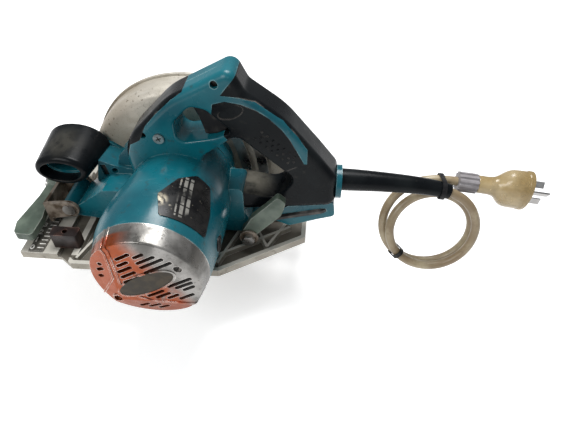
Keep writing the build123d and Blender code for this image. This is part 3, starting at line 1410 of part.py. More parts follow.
with BuildPart() as bevel_lever:
    with BuildSketch(at_x(BEVEL_FRONT + 3 + CLEAR / 2)):
        with Locations((BEVEL_BOLT_Y, BEVEL_BOLT_Z)):
            Circle(LEVER_HUB_D / 2)
    extrude(amount=QUADRANT_FRONT - CLEAR - BEVEL_FRONT - 3 - CLEAR / 2)
    with BuildSketch(Plane.XY.offset(BEVEL_BOLT_Z - LEVER_HUB_D / 4)):
        with BuildLine():
            rounded_outline(
                (
                    (BEVEL_FRONT - 2.5, -92, 5), (BEVEL_FRONT + 1.5, -107, 5), (BEVEL_FRONT + 19.5, -108, 4),
                    (BEVEL_FRONT + 19.5, -84, 3), (BEVEL_FRONT + 17.5, -76, 4), (BEVEL_FRONT + 15.5, -50, 8),
                    (QUADRANT_FRONT - CLEAR, -44, 3), (QUADRANT_FRONT - CLEAR, BEVEL_BOLT_Y, 1),
                    (BEVEL_FRONT + 3 + CLEAR / 2, BEVEL_BOLT_Y, 1), (BEVEL_FRONT + 3, -54, 8),
                )
            )
        make_face()
    extrude(amount=LEVER_HUB_D / 2)
    with BuildSketch(at_x(-200)):
        with Locations((BEVEL_BOLT_Y, BEVEL_BOLT_Z)):
            Circle(BEVEL_BOLT_D / 2 + RUN_FIT)
    extrude(amount=100, mode=Mode.SUBTRACT)
PIECES["bevel_lever"] = bevel_lever

# Mains cord: out of its guard, twice round in a leaning coil, and into the plug.
# One row for each quarter turn: radius of the coil, and how far the turn lies behind the first.
COIL_QUARTERS = ((42, 0), (42, 0), (42, 0), (37, 1), (29.5, 4), (39, 10), (41, 10), (45, 10.5), (46, 14))
LEAN = radians(COIL_LEAN)
COIL_UP = Vector(0, sin(LEAN), cos(LEAN))
COIL_BACK = Vector(0, cos(LEAN), -sin(LEAN))
COIL_ANGLES = [COIL_START] + [90 * quarter for quarter in range(1, len(COIL_QUARTERS))]
GUARD_TIP = Vector(GUARD_END_X, HANDLE_MID, MOTOR_Z + GUARD_END_RISE)
START = radians(COIL_START)
COIL_CENTRE = GUARD_TIP - (Vector(1, 0, 0) * sin(START) + COIL_UP * cos(START)) * COIL_QUARTERS[0][0]


def coil_point(step):
    """Place of the cord's middle at a step of the coil."""
    radius, behind = COIL_QUARTERS[step]
    angle = radians(COIL_ANGLES[step])
    return COIL_CENTRE + (Vector(1, 0, 0) * sin(angle) + COIL_UP * cos(angle)) * radius + COIL_BACK * behind


def coil_heading(step):
    """Direction of the cord at a step of the coil, with the coil's spread and climb."""
    first = max(step - 1, 0)
    last = min(step + 1, len(COIL_QUARTERS) - 1)
    span = radians(COIL_ANGLES[last] - COIL_ANGLES[first])
    spread = (COIL_QUARTERS[last][0] - COIL_QUARTERS[first][0]) / span
    climb = (COIL_QUARTERS[last][1] - COIL_QUARTERS[first][1]) / span
    if step in (0, len(COIL_QUARTERS) - 1):
        spread, climb = 0, 0
    angle = radians(COIL_ANGLES[step])
    along = (Vector(1, 0, 0) * cos(angle) - COIL_UP * sin(angle)) * COIL_QUARTERS[step][0]
    outward = (Vector(1, 0, 0) * sin(angle) + COIL_UP * cos(angle)) * spread
    return (along + outward + COIL_BACK * climb).normalized()


def biarc_joint(start, heading, end, end_heading):
    """Point where two arcs meet that leave the start and reach the end along their headings."""
    chord = end - start
    both = heading + end_heading
    square = 2 * (1 - heading.dot(end_heading))
    linear = 2 * chord.dot(both)
    reach = (sqrt(linear * linear + 4 * square * chord.dot(chord)) - linear) / (2 * square)
    near = start + heading * reach
    far = end - end_heading * reach
    return (near + far) * 0.5, (far - near).normalized()


LAST_STEP = len(COIL_QUARTERS) - 1
LEAD_START = coil_point(LAST_STEP)
LEAD_END = LEAD_START + Vector(cos(radians(PLUG_DROOP / 2)), 0, -sin(radians(PLUG_DROOP / 2))) * CORD_LEAD
PLUG_HEADING = Vector(cos(radians(PLUG_DROOP)), 0, -sin(radians(PLUG_DROOP)))
TIE_PAIRS = []
with BuildPart() as power_cord:
    with BuildLine() as cord_route:
        for step in range(LAST_STEP):
            joint, joint_heading = biarc_joint(
                coil_point(step), coil_heading(step), coil_point(step + 1), coil_heading(step + 1)
            )
            TangentArc(coil_point(step), joint, tangent=coil_heading(step))
            TangentArc(joint, coil_point(step + 1), tangent=joint_heading)
            TIE_PAIRS.append((joint, joint_heading))
        TangentArc(LEAD_START, LEAD_END, tangent=coil_heading(LAST_STEP))
    with BuildSketch(Plane(origin=coil_point(0), z_dir=coil_heading(0))):
        Circle(CORD_D / 2)
    sweep()
PIECES["power_cord"] = power_cord

# Least gap between turns of the cord, on points along it
cord_line = cord_route.wires()[0]
GAP_SPOTS = 400
cord_points = [cord_line @ (spot / GAP_SPOTS) for spot in range(GAP_SPOTS + 1)]
skip = int(4 * CORD_D / cord_line.length * GAP_SPOTS)
cord_gap = min(
    (cord_points[first] - cord_points[second]).length
    for first in range(GAP_SPOTS + 1)
    for second in range(first + skip, GAP_SPOTS + 1)
)
print("cord length", round(cord_line.length, 1), "least gap", round(cord_gap - CORD_D, 2))
print("cord volume ratio", round(power_cord.part.volume / (pi * CORD_D**2 / 4 * cord_line.length), 4))

# Rubber guard of the cord and the collar that holds it in the handle
GUARD_STATIONS = (
    (0, 13.5, 10.2, 0), (29, 13.3, 9.6, 1), (59, 12.2, 8.5, 4), (84, 9.8, 7.7, 8),
    (GUARD_END_X - HANDLE_END, GUARD_END_RISE, 7.0, None),
)
with BuildPart() as cord_guard:
    for along, rise, radius, droop in GUARD_STATIONS:
        heading = coil_heading(0) if droop is None else Vector(cos(radians(droop)), 0, -sin(radians(droop)))
        with BuildSketch(Plane(origin=(HANDLE_END + along, HANDLE_MID, MOTOR_Z + rise), z_dir=heading)):
            Circle(radius)
    loft()
PIECES["cord_guard"] = cord_guard

with BuildPart() as cord_collar:
    with BuildSketch(at_x(HANDLE_END)):
        with Locations((HANDLE_MID, MOTOR_Z + 11)):
            Circle(COLLAR_R)
    extrude(amount=COLLAR_LENGTH)
    add(cord_guard.part, mode=Mode.SUBTRACT)
PIECES["cord_collar"] = cord_collar


def tie_face(first, first_r, second, second_r, heading, spare):
    """Face that wraps two strands side by side, with some to spare round each."""
    across = second - first
    with BuildSketch(Plane(origin=first - heading * (TIE_WIDTH / 2), x_dir=across, z_dir=heading)) as wrap:
        with BuildLine():
            CenterArc((0, 0), first_r + spare, 0, 360)
            CenterArc((across.length, 0), second_r + spare, 0, 360)
        make_hull()
    return wrap.sketch


GUARD_TIE = Vector(GUARD_TIE_X, HANDLE_MID, MOTOR_Z + GUARD_TIE_RISE)
LEAD_TIE = Vector(GUARD_TIE_X, LEAD_START.Y, LEAD_START.Z)
TIES = (
    (
        TIE_PAIRS[2][0], CORD_D / 2, TIE_PAIRS[6][0], CORD_D / 2,
        (TIE_PAIRS[2][1] + TIE_PAIRS[6][1]).normalized(),
    ),
    (GUARD_TIE, GUARD_TIE_R, LEAD_TIE, CORD_D / 2, PLUG_HEADING),
)
with BuildPart() as cord_ties:
    for tie in TIES:
        extrude(tie_face(*tie, CLEAR + TIE_SHEET), amount=TIE_WIDTH)
    for tie in TIES:
        extrude(tie_face(*tie, CLEAR), amount=TIE_WIDTH, mode=Mode.SUBTRACT)
PIECES["cord_ties"] = cord_ties

# Plug: a fluted gland nut, a moulded body and three flat pins


def plug_plane(along):
    """Plane across the plug, some way along it."""
    return Plane(origin=LEAD_END + PLUG_HEADING * along, x_dir=(0, 1, 0), z_dir=PLUG_HEADING)


with BuildPart() as plug_gland_nut:
    with BuildSketch(plug_plane(0)):
        Circle(GLAND_D / 2)
        with PolarLocations(GLAND_D / 2, 12):
            Circle(1.4, mode=Mode.SUBTRACT)
    extrude(amount=GLAND_LENGTH)
PIECES["plug_gland_nut"] = plug_gland_nut

PLUG_STATIONS = ((0, 9, 9), (10, 11, 12.5), (24, 14, 18.5), (42, 14.5, 20.5), (48, 13.5, 19.5))
with BuildPart() as plug_body:
    for along, half_wide, half_high in PLUG_STATIONS:
        with BuildSketch(plug_plane(GLAND_LENGTH + along)):
            Ellipse(half_wide, half_high)
    loft()
PIECES["plug_body"] = plug_body

with BuildPart() as plug_pins:
    with BuildSketch(plug_plane(GLAND_LENGTH + PLUG_STATIONS[-1][0])):
        left_pin = Location((-PIN_SPREAD * 0.5, PIN_RISE), 30)
        right_pin = Location((PIN_SPREAD * 0.5, PIN_RISE), -30)
        with Locations(left_pin, right_pin):
            Rectangle(PIN_THICK, PIN_WIDTH)
        with Locations((0, -EARTH_DROP)):
            Rectangle(PIN_THICK, PIN_WIDTH)
    extrude(amount=PIN_LENGTH)
PIECES["plug_pins"] = plug_pins

os.makedirs("parts", exist_ok=True)
for node, piece in PIECES.items():
    piece.part.label = node
    export_step(piece.part, f"parts/{node}.step")
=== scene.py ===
# %% [markdown]
# This lesson dresses a worn circular saw with a mains cord for a studio picture.
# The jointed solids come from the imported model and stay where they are, since its joints are measured there.
# Blender adds what solids are poor at: finishes, the soft cord, the clear plug and small moulded detail.

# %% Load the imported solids
from math import cos, sin, radians
import bpy
from mathutils import Matrix, Vector


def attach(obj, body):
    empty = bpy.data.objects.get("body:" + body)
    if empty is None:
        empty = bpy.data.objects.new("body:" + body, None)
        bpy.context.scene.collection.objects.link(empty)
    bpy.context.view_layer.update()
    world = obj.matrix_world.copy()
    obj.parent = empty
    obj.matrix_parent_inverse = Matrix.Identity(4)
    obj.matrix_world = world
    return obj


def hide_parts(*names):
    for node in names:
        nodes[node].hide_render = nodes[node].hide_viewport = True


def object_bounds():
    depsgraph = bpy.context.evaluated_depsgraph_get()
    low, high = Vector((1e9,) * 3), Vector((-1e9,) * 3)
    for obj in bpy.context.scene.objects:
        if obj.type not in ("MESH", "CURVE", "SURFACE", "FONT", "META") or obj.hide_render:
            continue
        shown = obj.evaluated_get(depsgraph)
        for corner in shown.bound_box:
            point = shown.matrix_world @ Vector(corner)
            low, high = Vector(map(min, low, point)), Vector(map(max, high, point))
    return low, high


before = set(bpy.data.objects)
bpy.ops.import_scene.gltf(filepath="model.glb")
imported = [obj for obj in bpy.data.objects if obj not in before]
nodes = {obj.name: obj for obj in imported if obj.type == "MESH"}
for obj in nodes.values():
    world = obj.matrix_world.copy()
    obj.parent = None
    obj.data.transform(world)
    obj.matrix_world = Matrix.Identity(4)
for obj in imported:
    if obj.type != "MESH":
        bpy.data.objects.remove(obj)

solids_box = [list(corner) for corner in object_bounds()]
print(len(nodes), "solids, box", solids_box)

# %% [markdown]
# The picture is taken from in front of the motor end and above it, so that the motor comes towards the eye.
# A camera can be aimed by a constraint that tracks a target, or by its three axes.
# The axes are written here, because the view was fitted to the photograph from known sizes, the blade and
# the round motor end, and such a fit gives axes and a place.

# %% Camera at the photograph's view
LENS_MM = 31.2
SENSOR_MM = 36.0
NEAREST = 0.01
CAMERA_PLACE = (0.1310, -0.4096, 0.3636)
camera_data = bpy.data.cameras.new("photo_camera")
camera_data.lens = LENS_MM
camera_data.sensor_width = SENSOR_MM
camera_data.clip_start = NEAREST
camera = bpy.data.objects.new("photo_camera", camera_data)
bpy.context.scene.collection.objects.link(camera)
right = Vector((0.9967, 0.0810, 0.0))
up = Vector((-0.0564, 0.6947, 0.7171))
back = Vector((0.0581, -0.7147, 0.6970))
turn = Matrix((right, up, back)).transposed().to_4x4()
camera.matrix_world = Matrix.Translation(CAMERA_PLACE) @ turn
bpy.context.scene.camera = camera
print("camera at", camera.location[:])

# %% [markdown]
# The saw lies on a pale floor that runs out of the picture. A curved backdrop would do as well, but from
# above one plane under the lowest point is enough.

# %% Floor
FLOOR_GAP = 0.0006
FLOOR_SIZE = 8
FLOOR_PALE = 0.90
FLOOR_DULL = 0.9
floor_height = solids_box[0][2] - FLOOR_GAP
bpy.ops.object.select_all(action="DESELECT")
bpy.ops.mesh.primitive_plane_add(size=FLOOR_SIZE, location=(0, 0, floor_height))
floor = bpy.context.object
floor.name = "studio_floor"
floor_finish = bpy.data.materials.new("studio_floor")
floor_finish.use_nodes = True
floor_tree = floor_finish.node_tree
floor_shader = floor_tree.nodes["Principled BSDF"]
floor_shader.inputs["Base Color"].default_value = (FLOOR_PALE, FLOOR_PALE, FLOOR_PALE, 1)
floor_shader.inputs["Roughness"].default_value = FLOOR_DULL
floor.data.materials.append(floor_finish)
print("floor at", floor_height)

# %% [markdown]
# A white ground could be had from stronger lamps, but those would bleach the saw as well.
# So the floor glows a little where the camera, a reflection or clear plastic looks at it, and nowhere else.
# The Light Path node tells which ray is asking, the largest of its three answers switches the glow on, and
# the saw's shadow stays on the floor.

# %% White ground
FLOOR_GLOW = 0.45
floor_shader.inputs["Emission Color"].default_value = (1, 1, 1, 1)
rays = floor_tree.nodes.new("ShaderNodeLightPath")
seen = rays.outputs["Is Camera Ray"]
for ray in ("Is Glossy Ray", "Is Transmission Ray"):
    largest = floor_tree.nodes.new("ShaderNodeMath")
    largest.operation = "MAXIMUM"
    floor_tree.links.new(seen, largest.inputs[0])
    floor_tree.links.new(rays.outputs[ray], largest.inputs[1])
    seen = largest.outputs[0]
glow = floor_tree.nodes.new("ShaderNodeMath")
glow.operation = "MULTIPLY"
glow.inputs[1].default_value = FLOOR_GLOW
floor_tree.links.new(seen, glow.inputs[0])
floor_tree.links.new(glow.outputs[0], floor_shader.inputs["Emission Strength"])
print("floor glow", FLOOR_GLOW)

# %% [markdown]
# A small studio lights a tool with one broad lamp above and a weaker one beside the camera.
# Area lamps were chosen over points or a sun, because their size makes the edge of the shadow soft.
# An even pale sky fills what the lamps miss, and the Standard view shows a colour about as it is written.

# %% Lamps and sky
LIT_SPOT = Vector((0.05, -0.05, 0.05))
SKY_COLOUR = (0.95, 0.97, 1.0, 1)
SKY_STRENGTH = 0.42


def lamp(name, place, size, power):
    """Broad square lamp that points at the saw."""
    data = bpy.data.lights.new(name, "AREA")
    data.size = size
    data.energy = power
    made = bpy.data.objects.new(name, data)
    bpy.context.scene.collection.objects.link(made)
    made.location = place
    made.rotation_euler = (LIT_SPOT - Vector(place)).to_track_quat("-Z", "Y").to_euler()
    return made


key_lamp = lamp("key_lamp", place=(0.10, 0.25, 1.10), size=0.5, power=13)
fill_lamp = lamp("fill_lamp", place=(-0.5, -0.9, 0.9), size=0.6, power=7)
sky = bpy.data.worlds.new("studio_sky")
bpy.context.scene.world = sky
sky.use_nodes = True
sky_light = sky.node_tree.nodes["Background"]
sky_light.inputs["Color"].default_value = SKY_COLOUR
sky_light.inputs["Strength"].default_value = SKY_STRENGTH
bpy.context.scene.view_settings.view_transform = "Standard"
print("lamps", key_lamp.data.energy, fill_lamp.data.energy, "sky", SKY_STRENGTH)

# %% [markdown]
# The mains cord leaves its rubber guard, goes twice round in a loose leaning coil and ends in the plug.
# Its line could be a helix, but a coil tied by hand isn't even: its width changes as it goes round.
# So the coil has a radius and a step back at each quarter turn, in millimetres, and the points between are
# eased from those rows. A short straight lead goes on to the plug.

# %% Route of the cord
QUARTER_ROWS = (
    (42, 0), (42, 0), (42, 0), (38.5, 2), (33.5, 11), (41, 11), (43.5, 10.3), (45, 10.5), (46, 14),
)
QUARTER_ANGLES = [15, 90, 180, 270, 360, 450, 540, 630, 720]
STEPS = 5
LEAN = radians(15)
COIL_ALONG = Vector((1, 0, 0))
COIL_UP = Vector((0, sin(LEAN), cos(LEAN)))
COIL_BACK = Vector((0, cos(LEAN), -sin(LEAN)))
GUARD_TIP = Vector((250, -55, 60.6))
START_TURN = radians(QUARTER_ANGLES[0])
COIL_CENTRE = GUARD_TIP - QUARTER_ROWS[0][0] * (COIL_ALONG * sin(START_TURN) + COIL_UP * cos(START_TURN))
LEAD_DROP = radians(3.25)
LEAD_POINTS = (8, 20)


def eased(values, place):
    """Value between the rows of a list, with the same slope on both sides of each row."""
    first = min(int(place), len(values) - 2)
    part = place - first
    slopes = []
    for row in (first, first + 1):
        inner = 0 < row < len(values) - 1
        slopes.append((values[row + 1] - values[row - 1]) / 2 if inner else 0)
    start, end = values[first], values[first + 1]
    return (
        start * (1 + 2 * part) * (1 - part) ** 2 + slopes[0] * part * (1 - part) ** 2
        + end * part**2 * (3 - 2 * part) + slopes[1] * part**2 * (part - 1)
    )


route = []
for step in range((len(QUARTER_ROWS) - 1) * STEPS + 1):
    row = step / STEPS
    radius = eased([size for size, behind in QUARTER_ROWS], row)
    behind = eased([behind for size, behind in QUARTER_ROWS], row)
    first = min(int(row), len(QUARTER_ANGLES) - 2)
    quarter = QUARTER_ANGLES[first + 1] - QUARTER_ANGLES[first]
    angle = radians(QUARTER_ANGLES[first] + quarter * (row - first))
    outward = COIL_ALONG * sin(angle) + COIL_UP * cos(angle)
    route.append(COIL_CENTRE + radius * outward + behind * COIL_BACK)
lead_start = route[-1].copy()
for along in LEAD_POINTS:
    route.append(lead_start + along * Vector((cos(LEAD_DROP), 0, -sin(LEAD_DROP))))
print("cord points", len(route))

# %% [markdown]
# A real cord is round and has no corners. A mesh tube would need many rings to look so.
# A NURBS curve with a round bevel stays smooth on a few points, and its line can still be bent later.
# The points carry half the thickness as their radius, so that the curve's own box is right as well.

# %% Cord
CORD_THICK = 0.0085
CORD_STEPS = 6
cord_data = bpy.data.curves.new("mains_cord", "CURVE")
cord_data.dimensions = "3D"
cord_line = cord_data.splines.new("NURBS")
cord_line.points.add(len(route) - 1)
for spot, place in zip(cord_line.points, route):
    spot.co = (*(place / 1000), 1)
    spot.radius = CORD_THICK / 2
cord_line.order_u = 3
cord_line.use_endpoint_u = True
cord_data.resolution_u = CORD_STEPS
cord_data.bevel_depth = 1.0
cord_data.bevel_resolution = CORD_STEPS
cord_data.use_fill_caps = True
mains_cord = bpy.data.objects.new("mains_cord", cord_data)
bpy.context.scene.collection.objects.link(mains_cord)
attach(mains_cord, "saw_body")
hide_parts("power_cord")
print("cord thickness", CORD_THICK)

# %% [markdown]
# The plug's body is a clear moulding: a round neck that opens like a bell into an upright oval.
# A low rim ends it. It could be spun round an axis, but an oval isn't round.
# So one circle is extruded ring by ring, each ring is resized to its own width and height, and an applied
# subdivision rounds the steps. Each row below is a ring: its place along the plug, half width, half height.

# %% Plug body
PLUG_RINGS = (
    (0, 8.3, 8.3), (0.6, 8.4, 8.4), (8, 8.4, 8.4), (15, 8.5, 8.7), (19, 9.6, 10.8), (23.5, 12.0, 16.2),
    (27.5, 13.6, 19.2), (31.5, 14.1, 20.0), (37, 14.2, 20.2), (42.6, 14.2, 20.2), (43.2, 14.8, 20.8),
    (43.8, 14.9, 20.9), (46.6, 14.9, 20.9), (47.4, 14.8, 20.8), (48, 14.2, 20.2),
)
PLUG_SIDES = 32
PLUG_ROUNDING = 2
bpy.ops.object.select_all(action="DESELECT")
bpy.ops.mesh.primitive_circle_add(vertices=PLUG_SIDES, radius=PLUG_RINGS[0][1], fill_type="NGON")
plug_shell = bpy.context.object
plug_shell.name = "plug_shell"
bpy.ops.object.mode_set(mode="EDIT")
bpy.ops.mesh.select_all(action="SELECT")
for before, after in zip(PLUG_RINGS, PLUG_RINGS[1:]):
    bpy.ops.mesh.extrude_region_move(TRANSFORM_OT_translate={"value": (0, 0, after[0] - before[0])})
    bpy.ops.transform.resize(value=(after[1] / before[1], after[2] / before[2], 1))
bpy.ops.mesh.select_all(action="SELECT")
bpy.ops.mesh.normals_make_consistent(inside=False)
bpy.ops.object.mode_set(mode="OBJECT")
rounding = plug_shell.modifiers.new("rounding", "SUBSURF")
rounding.levels = PLUG_ROUNDING
rounding.render_levels = PLUG_ROUNDING
bpy.ops.object.modifier_apply(modifier="rounding")
print("plug faces", len(plug_shell.data.polygons))

# %% [markdown]
# The plug was shaped upright in millimetres, where a ring is easy to write down.
# It is now laid at the end of the cord, past the fluted nut, and that place goes into its mesh.
# It then hangs on the saw's body, as the cord does.

# %% Plug at the end of the cord
SMOOTH_BELOW = radians(40)
PLUG_TURN = radians(6.5)
PLUG_HEADING = Vector((cos(PLUG_TURN), 0, -sin(PLUG_TURN)))
PLUG_UP = Vector((sin(PLUG_TURN), 0, cos(PLUG_TURN)))
NUT_LENGTH = 18
plug_start = route[-1] + NUT_LENGTH * PLUG_HEADING
plug_axes = Matrix((Vector((0, 1, 0)), PLUG_UP, PLUG_HEADING)).transposed().to_4x4()
plug_shell.matrix_world = Matrix.Translation(plug_start / 1000) @ plug_axes @ Matrix.Scale(0.001, 4)
bpy.ops.object.transform_apply(location=True, rotation=True, scale=True)
bpy.ops.object.shade_smooth_by_angle(angle=SMOOTH_BELOW)
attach(plug_shell, "saw_body")
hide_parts("plug_body")
print("plug starts at", plug_start[:])

# %% [markdown]
# The housing and the handle are moulded in teal plastic. This first finish is made step by step, and the
# helpers that it brings serve all the others.
# A finish could be a painted picture, but that needs an unwrapped mesh. Nodes were chosen, because they work
# on the solids as they are. The plain values go on the shader first, and show where nothing else is linked.

# %% Teal plastic: plain values


def start_finish(name, colour, roughness, metallic=0.0, specular=0.5):
    """New material with its plain values set, and its node tree and shader."""
    made = bpy.data.materials.new(name)
    made.use_nodes = True
    shader = made.node_tree.nodes["Principled BSDF"]
    shader.inputs["Base Color"].default_value = (*colour, 1)
    shader.inputs["Roughness"].default_value = roughness
    shader.inputs["Metallic"].default_value = metallic
    shader.inputs["Specular IOR Level"].default_value = specular
    return made, made.node_tree, shader


teal, tree, shader = start_finish("teal_plastic", (0.006, 0.105, 0.13), roughness=0.3, specular=0.32)
print(teal.name, "started")

# %% [markdown]
# Old plastic isn't one even colour. It is darker and lighter in soft clouds.
# A noise pattern gives clouds, and a range between two of its levels makes a mask of their upper part.
# The pattern reads Object coordinates, the place on the saw in metres, so a stain stays where it is when
# the part moves. Its scale is in clouds to the metre.

# %% Teal plastic: clouds


def place_on(tree, stretch=(1, 1, 1)):
    """Place on the saw in metres, stretched."""
    where = tree.nodes.new("ShaderNodeTexCoord")
    mapping = tree.nodes.new("ShaderNodeMapping")
    mapping.inputs["Scale"].default_value = stretch
    tree.links.new(where.outputs["Object"], mapping.inputs["Vector"])
    return mapping.outputs["Vector"]


def cloud(tree, scale, detail, stretch=(1, 1, 1)):
    """Cloudy pattern."""
    made = tree.nodes.new("ShaderNodeTexNoise")
    made.inputs["Scale"].default_value = scale
    made.inputs["Detail"].default_value = detail
    tree.links.new(place_on(tree, stretch), made.inputs["Vector"])
    return made.outputs["Fac"]


def ramp(tree, value, low, high, bottom=0.0, top=1.0):
    """Part of a pattern between two levels, opened to the range bottom to top."""
    made = tree.nodes.new("ShaderNodeMapRange")
    made.interpolation_type = "SMOOTHSTEP"
    tree.links.new(value, made.inputs["Value"])
    made.inputs["From Min"].default_value = low
    made.inputs["From Max"].default_value = high
    made.inputs["To Min"].default_value = bottom
    made.inputs["To Max"].default_value = top
    return made.outputs["Result"]


def patches(tree, scale, detail, low, high, stretch=(1, 1, 1)):
    """Mask of the upper part of a cloudy pattern."""
    return ramp(tree, cloud(tree, scale, detail, stretch), low, high)


clouds = patches(tree, scale=18, detail=5, low=0.35, high=0.65)
print("teal clouds,", len(tree.nodes), "nodes")

# %% [markdown]
# A mask becomes colour through a Mix node: the first colour shows where the mask is black, and the second
# where it is white. A colour ramp could do both steps at once, but with two nodes one mask can serve twice.

# %% Teal plastic: two teals


def feed(tree, socket, value):
    """Links an output to a socket, or puts a number or a colour on it."""
    if isinstance(value, bpy.types.NodeSocket):
        tree.links.new(value, socket)
    elif isinstance(value, tuple):
        socket.default_value = (*value, 1)
    else:
        socket.default_value = value


def tint(tree, mask, under, over):
    """One colour over another through a mask."""
    made = tree.nodes.new("ShaderNodeMix")
    made.data_type = "RGBA"
    tree.links.new(mask, made.inputs["Factor"])
    feed(tree, made.inputs[6], under)
    feed(tree, made.inputs[7], over)
    return made.outputs[2]


tone = tint(tree, clouds, under=(0.0015, 0.066, 0.090), over=(0.004, 0.110, 0.140))
print("teal colours,", len(tree.nodes), "nodes")

# %% [markdown]
# Scuffs run across the barrel as pale streaks, which is a cloud pattern squeezed in one direction.
# A stain seldom hides what is under it, so its mask is multiplied by a strength before it mixes the colours.

# %% Teal plastic: scuffs


def combine(tree, kind, first, second):
    """Two masks or numbers joined by one sum, kept between 0 and 1."""
    made = tree.nodes.new("ShaderNodeMath")
    made.operation = kind
    made.use_clamp = True
    feed(tree, made.inputs[0], first)
    feed(tree, made.inputs[1], second)
    return made.outputs[0]


def both(tree, first, second):
    """Mask of the places where both masks are."""
    return combine(tree, "MULTIPLY", first, second)


def stained(tree, tone, mask, strength, colour):
    """A colour over a tone, through a mask at part of its strength."""
    return tint(tree, both(tree, mask, strength), tone, colour)


scuffs = patches(tree, scale=120, detail=5, low=0.60, high=0.78, stretch=(1, 3, 1))
tone = stained(tree, tone, scuffs, strength=0.16, colour=(0.16, 0.27, 0.28))
print("teal scuffs,", len(tree.nodes), "nodes")

# %% [markdown]
# Hands and benches rub the edges first, so there the plastic is paler. Edges could be painted one by one.
# The Bevel node finds them all: where its rounded normal leaves the true one, there is an edge.
# Clouds break the line up, because wear is never even. Grime then settles over all of it.

# %% Teal plastic: rubbed edges and grime
FLAT_MATCH = 0.97
EDGE_MATCH = 0.80
EDGE_SAMPLES = 4


def on_edges(tree, width):
    """Mask of the sharp edges."""
    rounded = tree.nodes.new("ShaderNodeBevel")
    rounded.samples = EDGE_SAMPLES
    rounded.inputs["Radius"].default_value = width
    surface = tree.nodes.new("ShaderNodeNewGeometry")
    made = tree.nodes.new("ShaderNodeVectorMath")
    made.operation = "DOT_PRODUCT"
    tree.links.new(rounded.outputs["Normal"], made.inputs[0])
    tree.links.new(surface.outputs["Normal"], made.inputs[1])
    return ramp(tree, made.outputs["Value"], FLAT_MATCH, EDGE_MATCH)


def rubbed_edges(tree, tone, colour, width, scale, low, high):
    """A colour on the edges, broken up by clouds."""
    broken = patches(tree, scale, detail=4, low=low, high=high)
    return tint(tree, both(tree, on_edges(tree, width), broken), tone, colour)


tone = rubbed_edges(tree, tone, (0.20, 0.33, 0.34), width=0.0016, scale=70, low=0.40, high=0.60)
grime = patches(tree, scale=130, detail=8, low=0.60, high=0.74)
tone = stained(tree, tone, grime, strength=0.6, colour=(0.018, 0.040, 0.042))
print("teal edges,", len(tree.nodes), "nodes")

# %% [markdown]
# Plastic shines where it is polished by use and is dull between, and a mould leaves a fine grain on it.
# The shine is the roughness socket, fed by clouds. The grain could be modelled, but it is far too fine, so a
# Bump node bends the light instead. Then the finish goes on each solid that is made of this plastic.

# %% Teal plastic: shine, grain and solids
CLOUD_LEVELS = (0.3, 0.7)


def paint(tree, shader, tone):
    """Puts a tone on the shader as its colour."""
    tree.links.new(tone, shader.inputs["Base Color"])


def shine(tree, shader, scale, detail, smooth, rough, stretch=(1, 1, 1)):
    """Roughness that wanders between two values."""
    wander = ramp(tree, cloud(tree, scale, detail, stretch), *CLOUD_LEVELS, smooth, rough)
    tree.links.new(wander, shader.inputs["Roughness"])


def grain(tree, shader, scale, detail, strength, depth, stretch=(1, 1, 1)):
    """Small relief on the surface."""
    made = tree.nodes.new("ShaderNodeBump")
    made.inputs["Strength"].default_value = strength
    made.inputs["Distance"].default_value = depth
    tree.links.new(cloud(tree, scale, detail, stretch), made.inputs["Height"])
    tree.links.new(made.outputs["Normal"], shader.inputs["Normal"])


def put_on(finish, *node_names):
    """Gives a finish to the named solids."""
    for node_name in node_names:
        slots = nodes[node_name].data.materials
        slots.clear()
        slots.append(finish)
    print(finish.name, "on", len(node_names), "solids")


paint(tree, shader, tone)
shine(tree, shader, scale=40, detail=6, smooth=0.17, rough=0.36)
grain(tree, shader, scale=900, detail=3, strength=0.06, depth=0.0003)
put_on(
    teal, "motor_housing", "handle_left_shell", "handle_right_shell", "front_knob_core", "hex_key_holder",
    "cord_collar", "gear_housing",
)

# %% [markdown]
# Black rubber covers the places that hands hold. It is matt, holds pale dust, and its edges are rubbed grey.
# A plain dark colour would look like a hole in the picture, so it keeps a faint shine and a fine grain.

# %% Black rubber: clouds, dust and edges


def mottled(tree, base, clouds, scale, detail=6, low=0.35, high=0.68, stretch=(1, 1, 1)):
    """A base colour with soft clouds of another."""
    return tint(tree, patches(tree, scale, detail, low, high, stretch), base, clouds)


rubber, tree, shader = start_finish("black_rubber", (0.010, 0.012, 0.013), roughness=0.5, specular=0.10)
tone = mottled(
    tree, base=(0.003, 0.004, 0.005), clouds=(0.008, 0.010, 0.011), scale=30, low=0.40, high=0.70,
)
dust = patches(tree, scale=160, detail=8, low=0.62, high=0.80)
tone = stained(tree, tone, dust, strength=0.18, colour=(0.09, 0.08, 0.065))
tone = rubbed_edges(tree, tone, (0.12, 0.11, 0.10), width=0.0016, scale=60, low=0.45, high=0.62)
shine(tree, shader, scale=60, detail=6, smooth=0.22, rough=0.38)
grain(tree, shader, scale=1400, detail=3, strength=0.08, depth=0.0003)
print("rubber,", len(tree.nodes), "nodes")

# %% [markdown]
# Two tops carry a painted sheen, a pale grey that stands for the lamp's light on them: the lower arm of the
# handle, and less so the front knob. Such a place could be painted by hand. Here it is a distance from a point
# on the saw, joined with a mask of the surfaces that face up, because two short nodes are easier to move than
# a painting.

# %% Black rubber: painted sheen on the tops
KNOB_SHEEN_SHARE = 0.25


def facing(tree, direction, low, high):
    """Mask of the surfaces that face a direction on the saw."""
    where = tree.nodes.new("ShaderNodeTexCoord")
    made = tree.nodes.new("ShaderNodeVectorMath")
    made.operation = "DOT_PRODUCT"
    made.inputs[1].default_value = direction
    tree.links.new(where.outputs["Normal"], made.inputs[0])
    return ramp(tree, made.outputs["Value"], low, high)


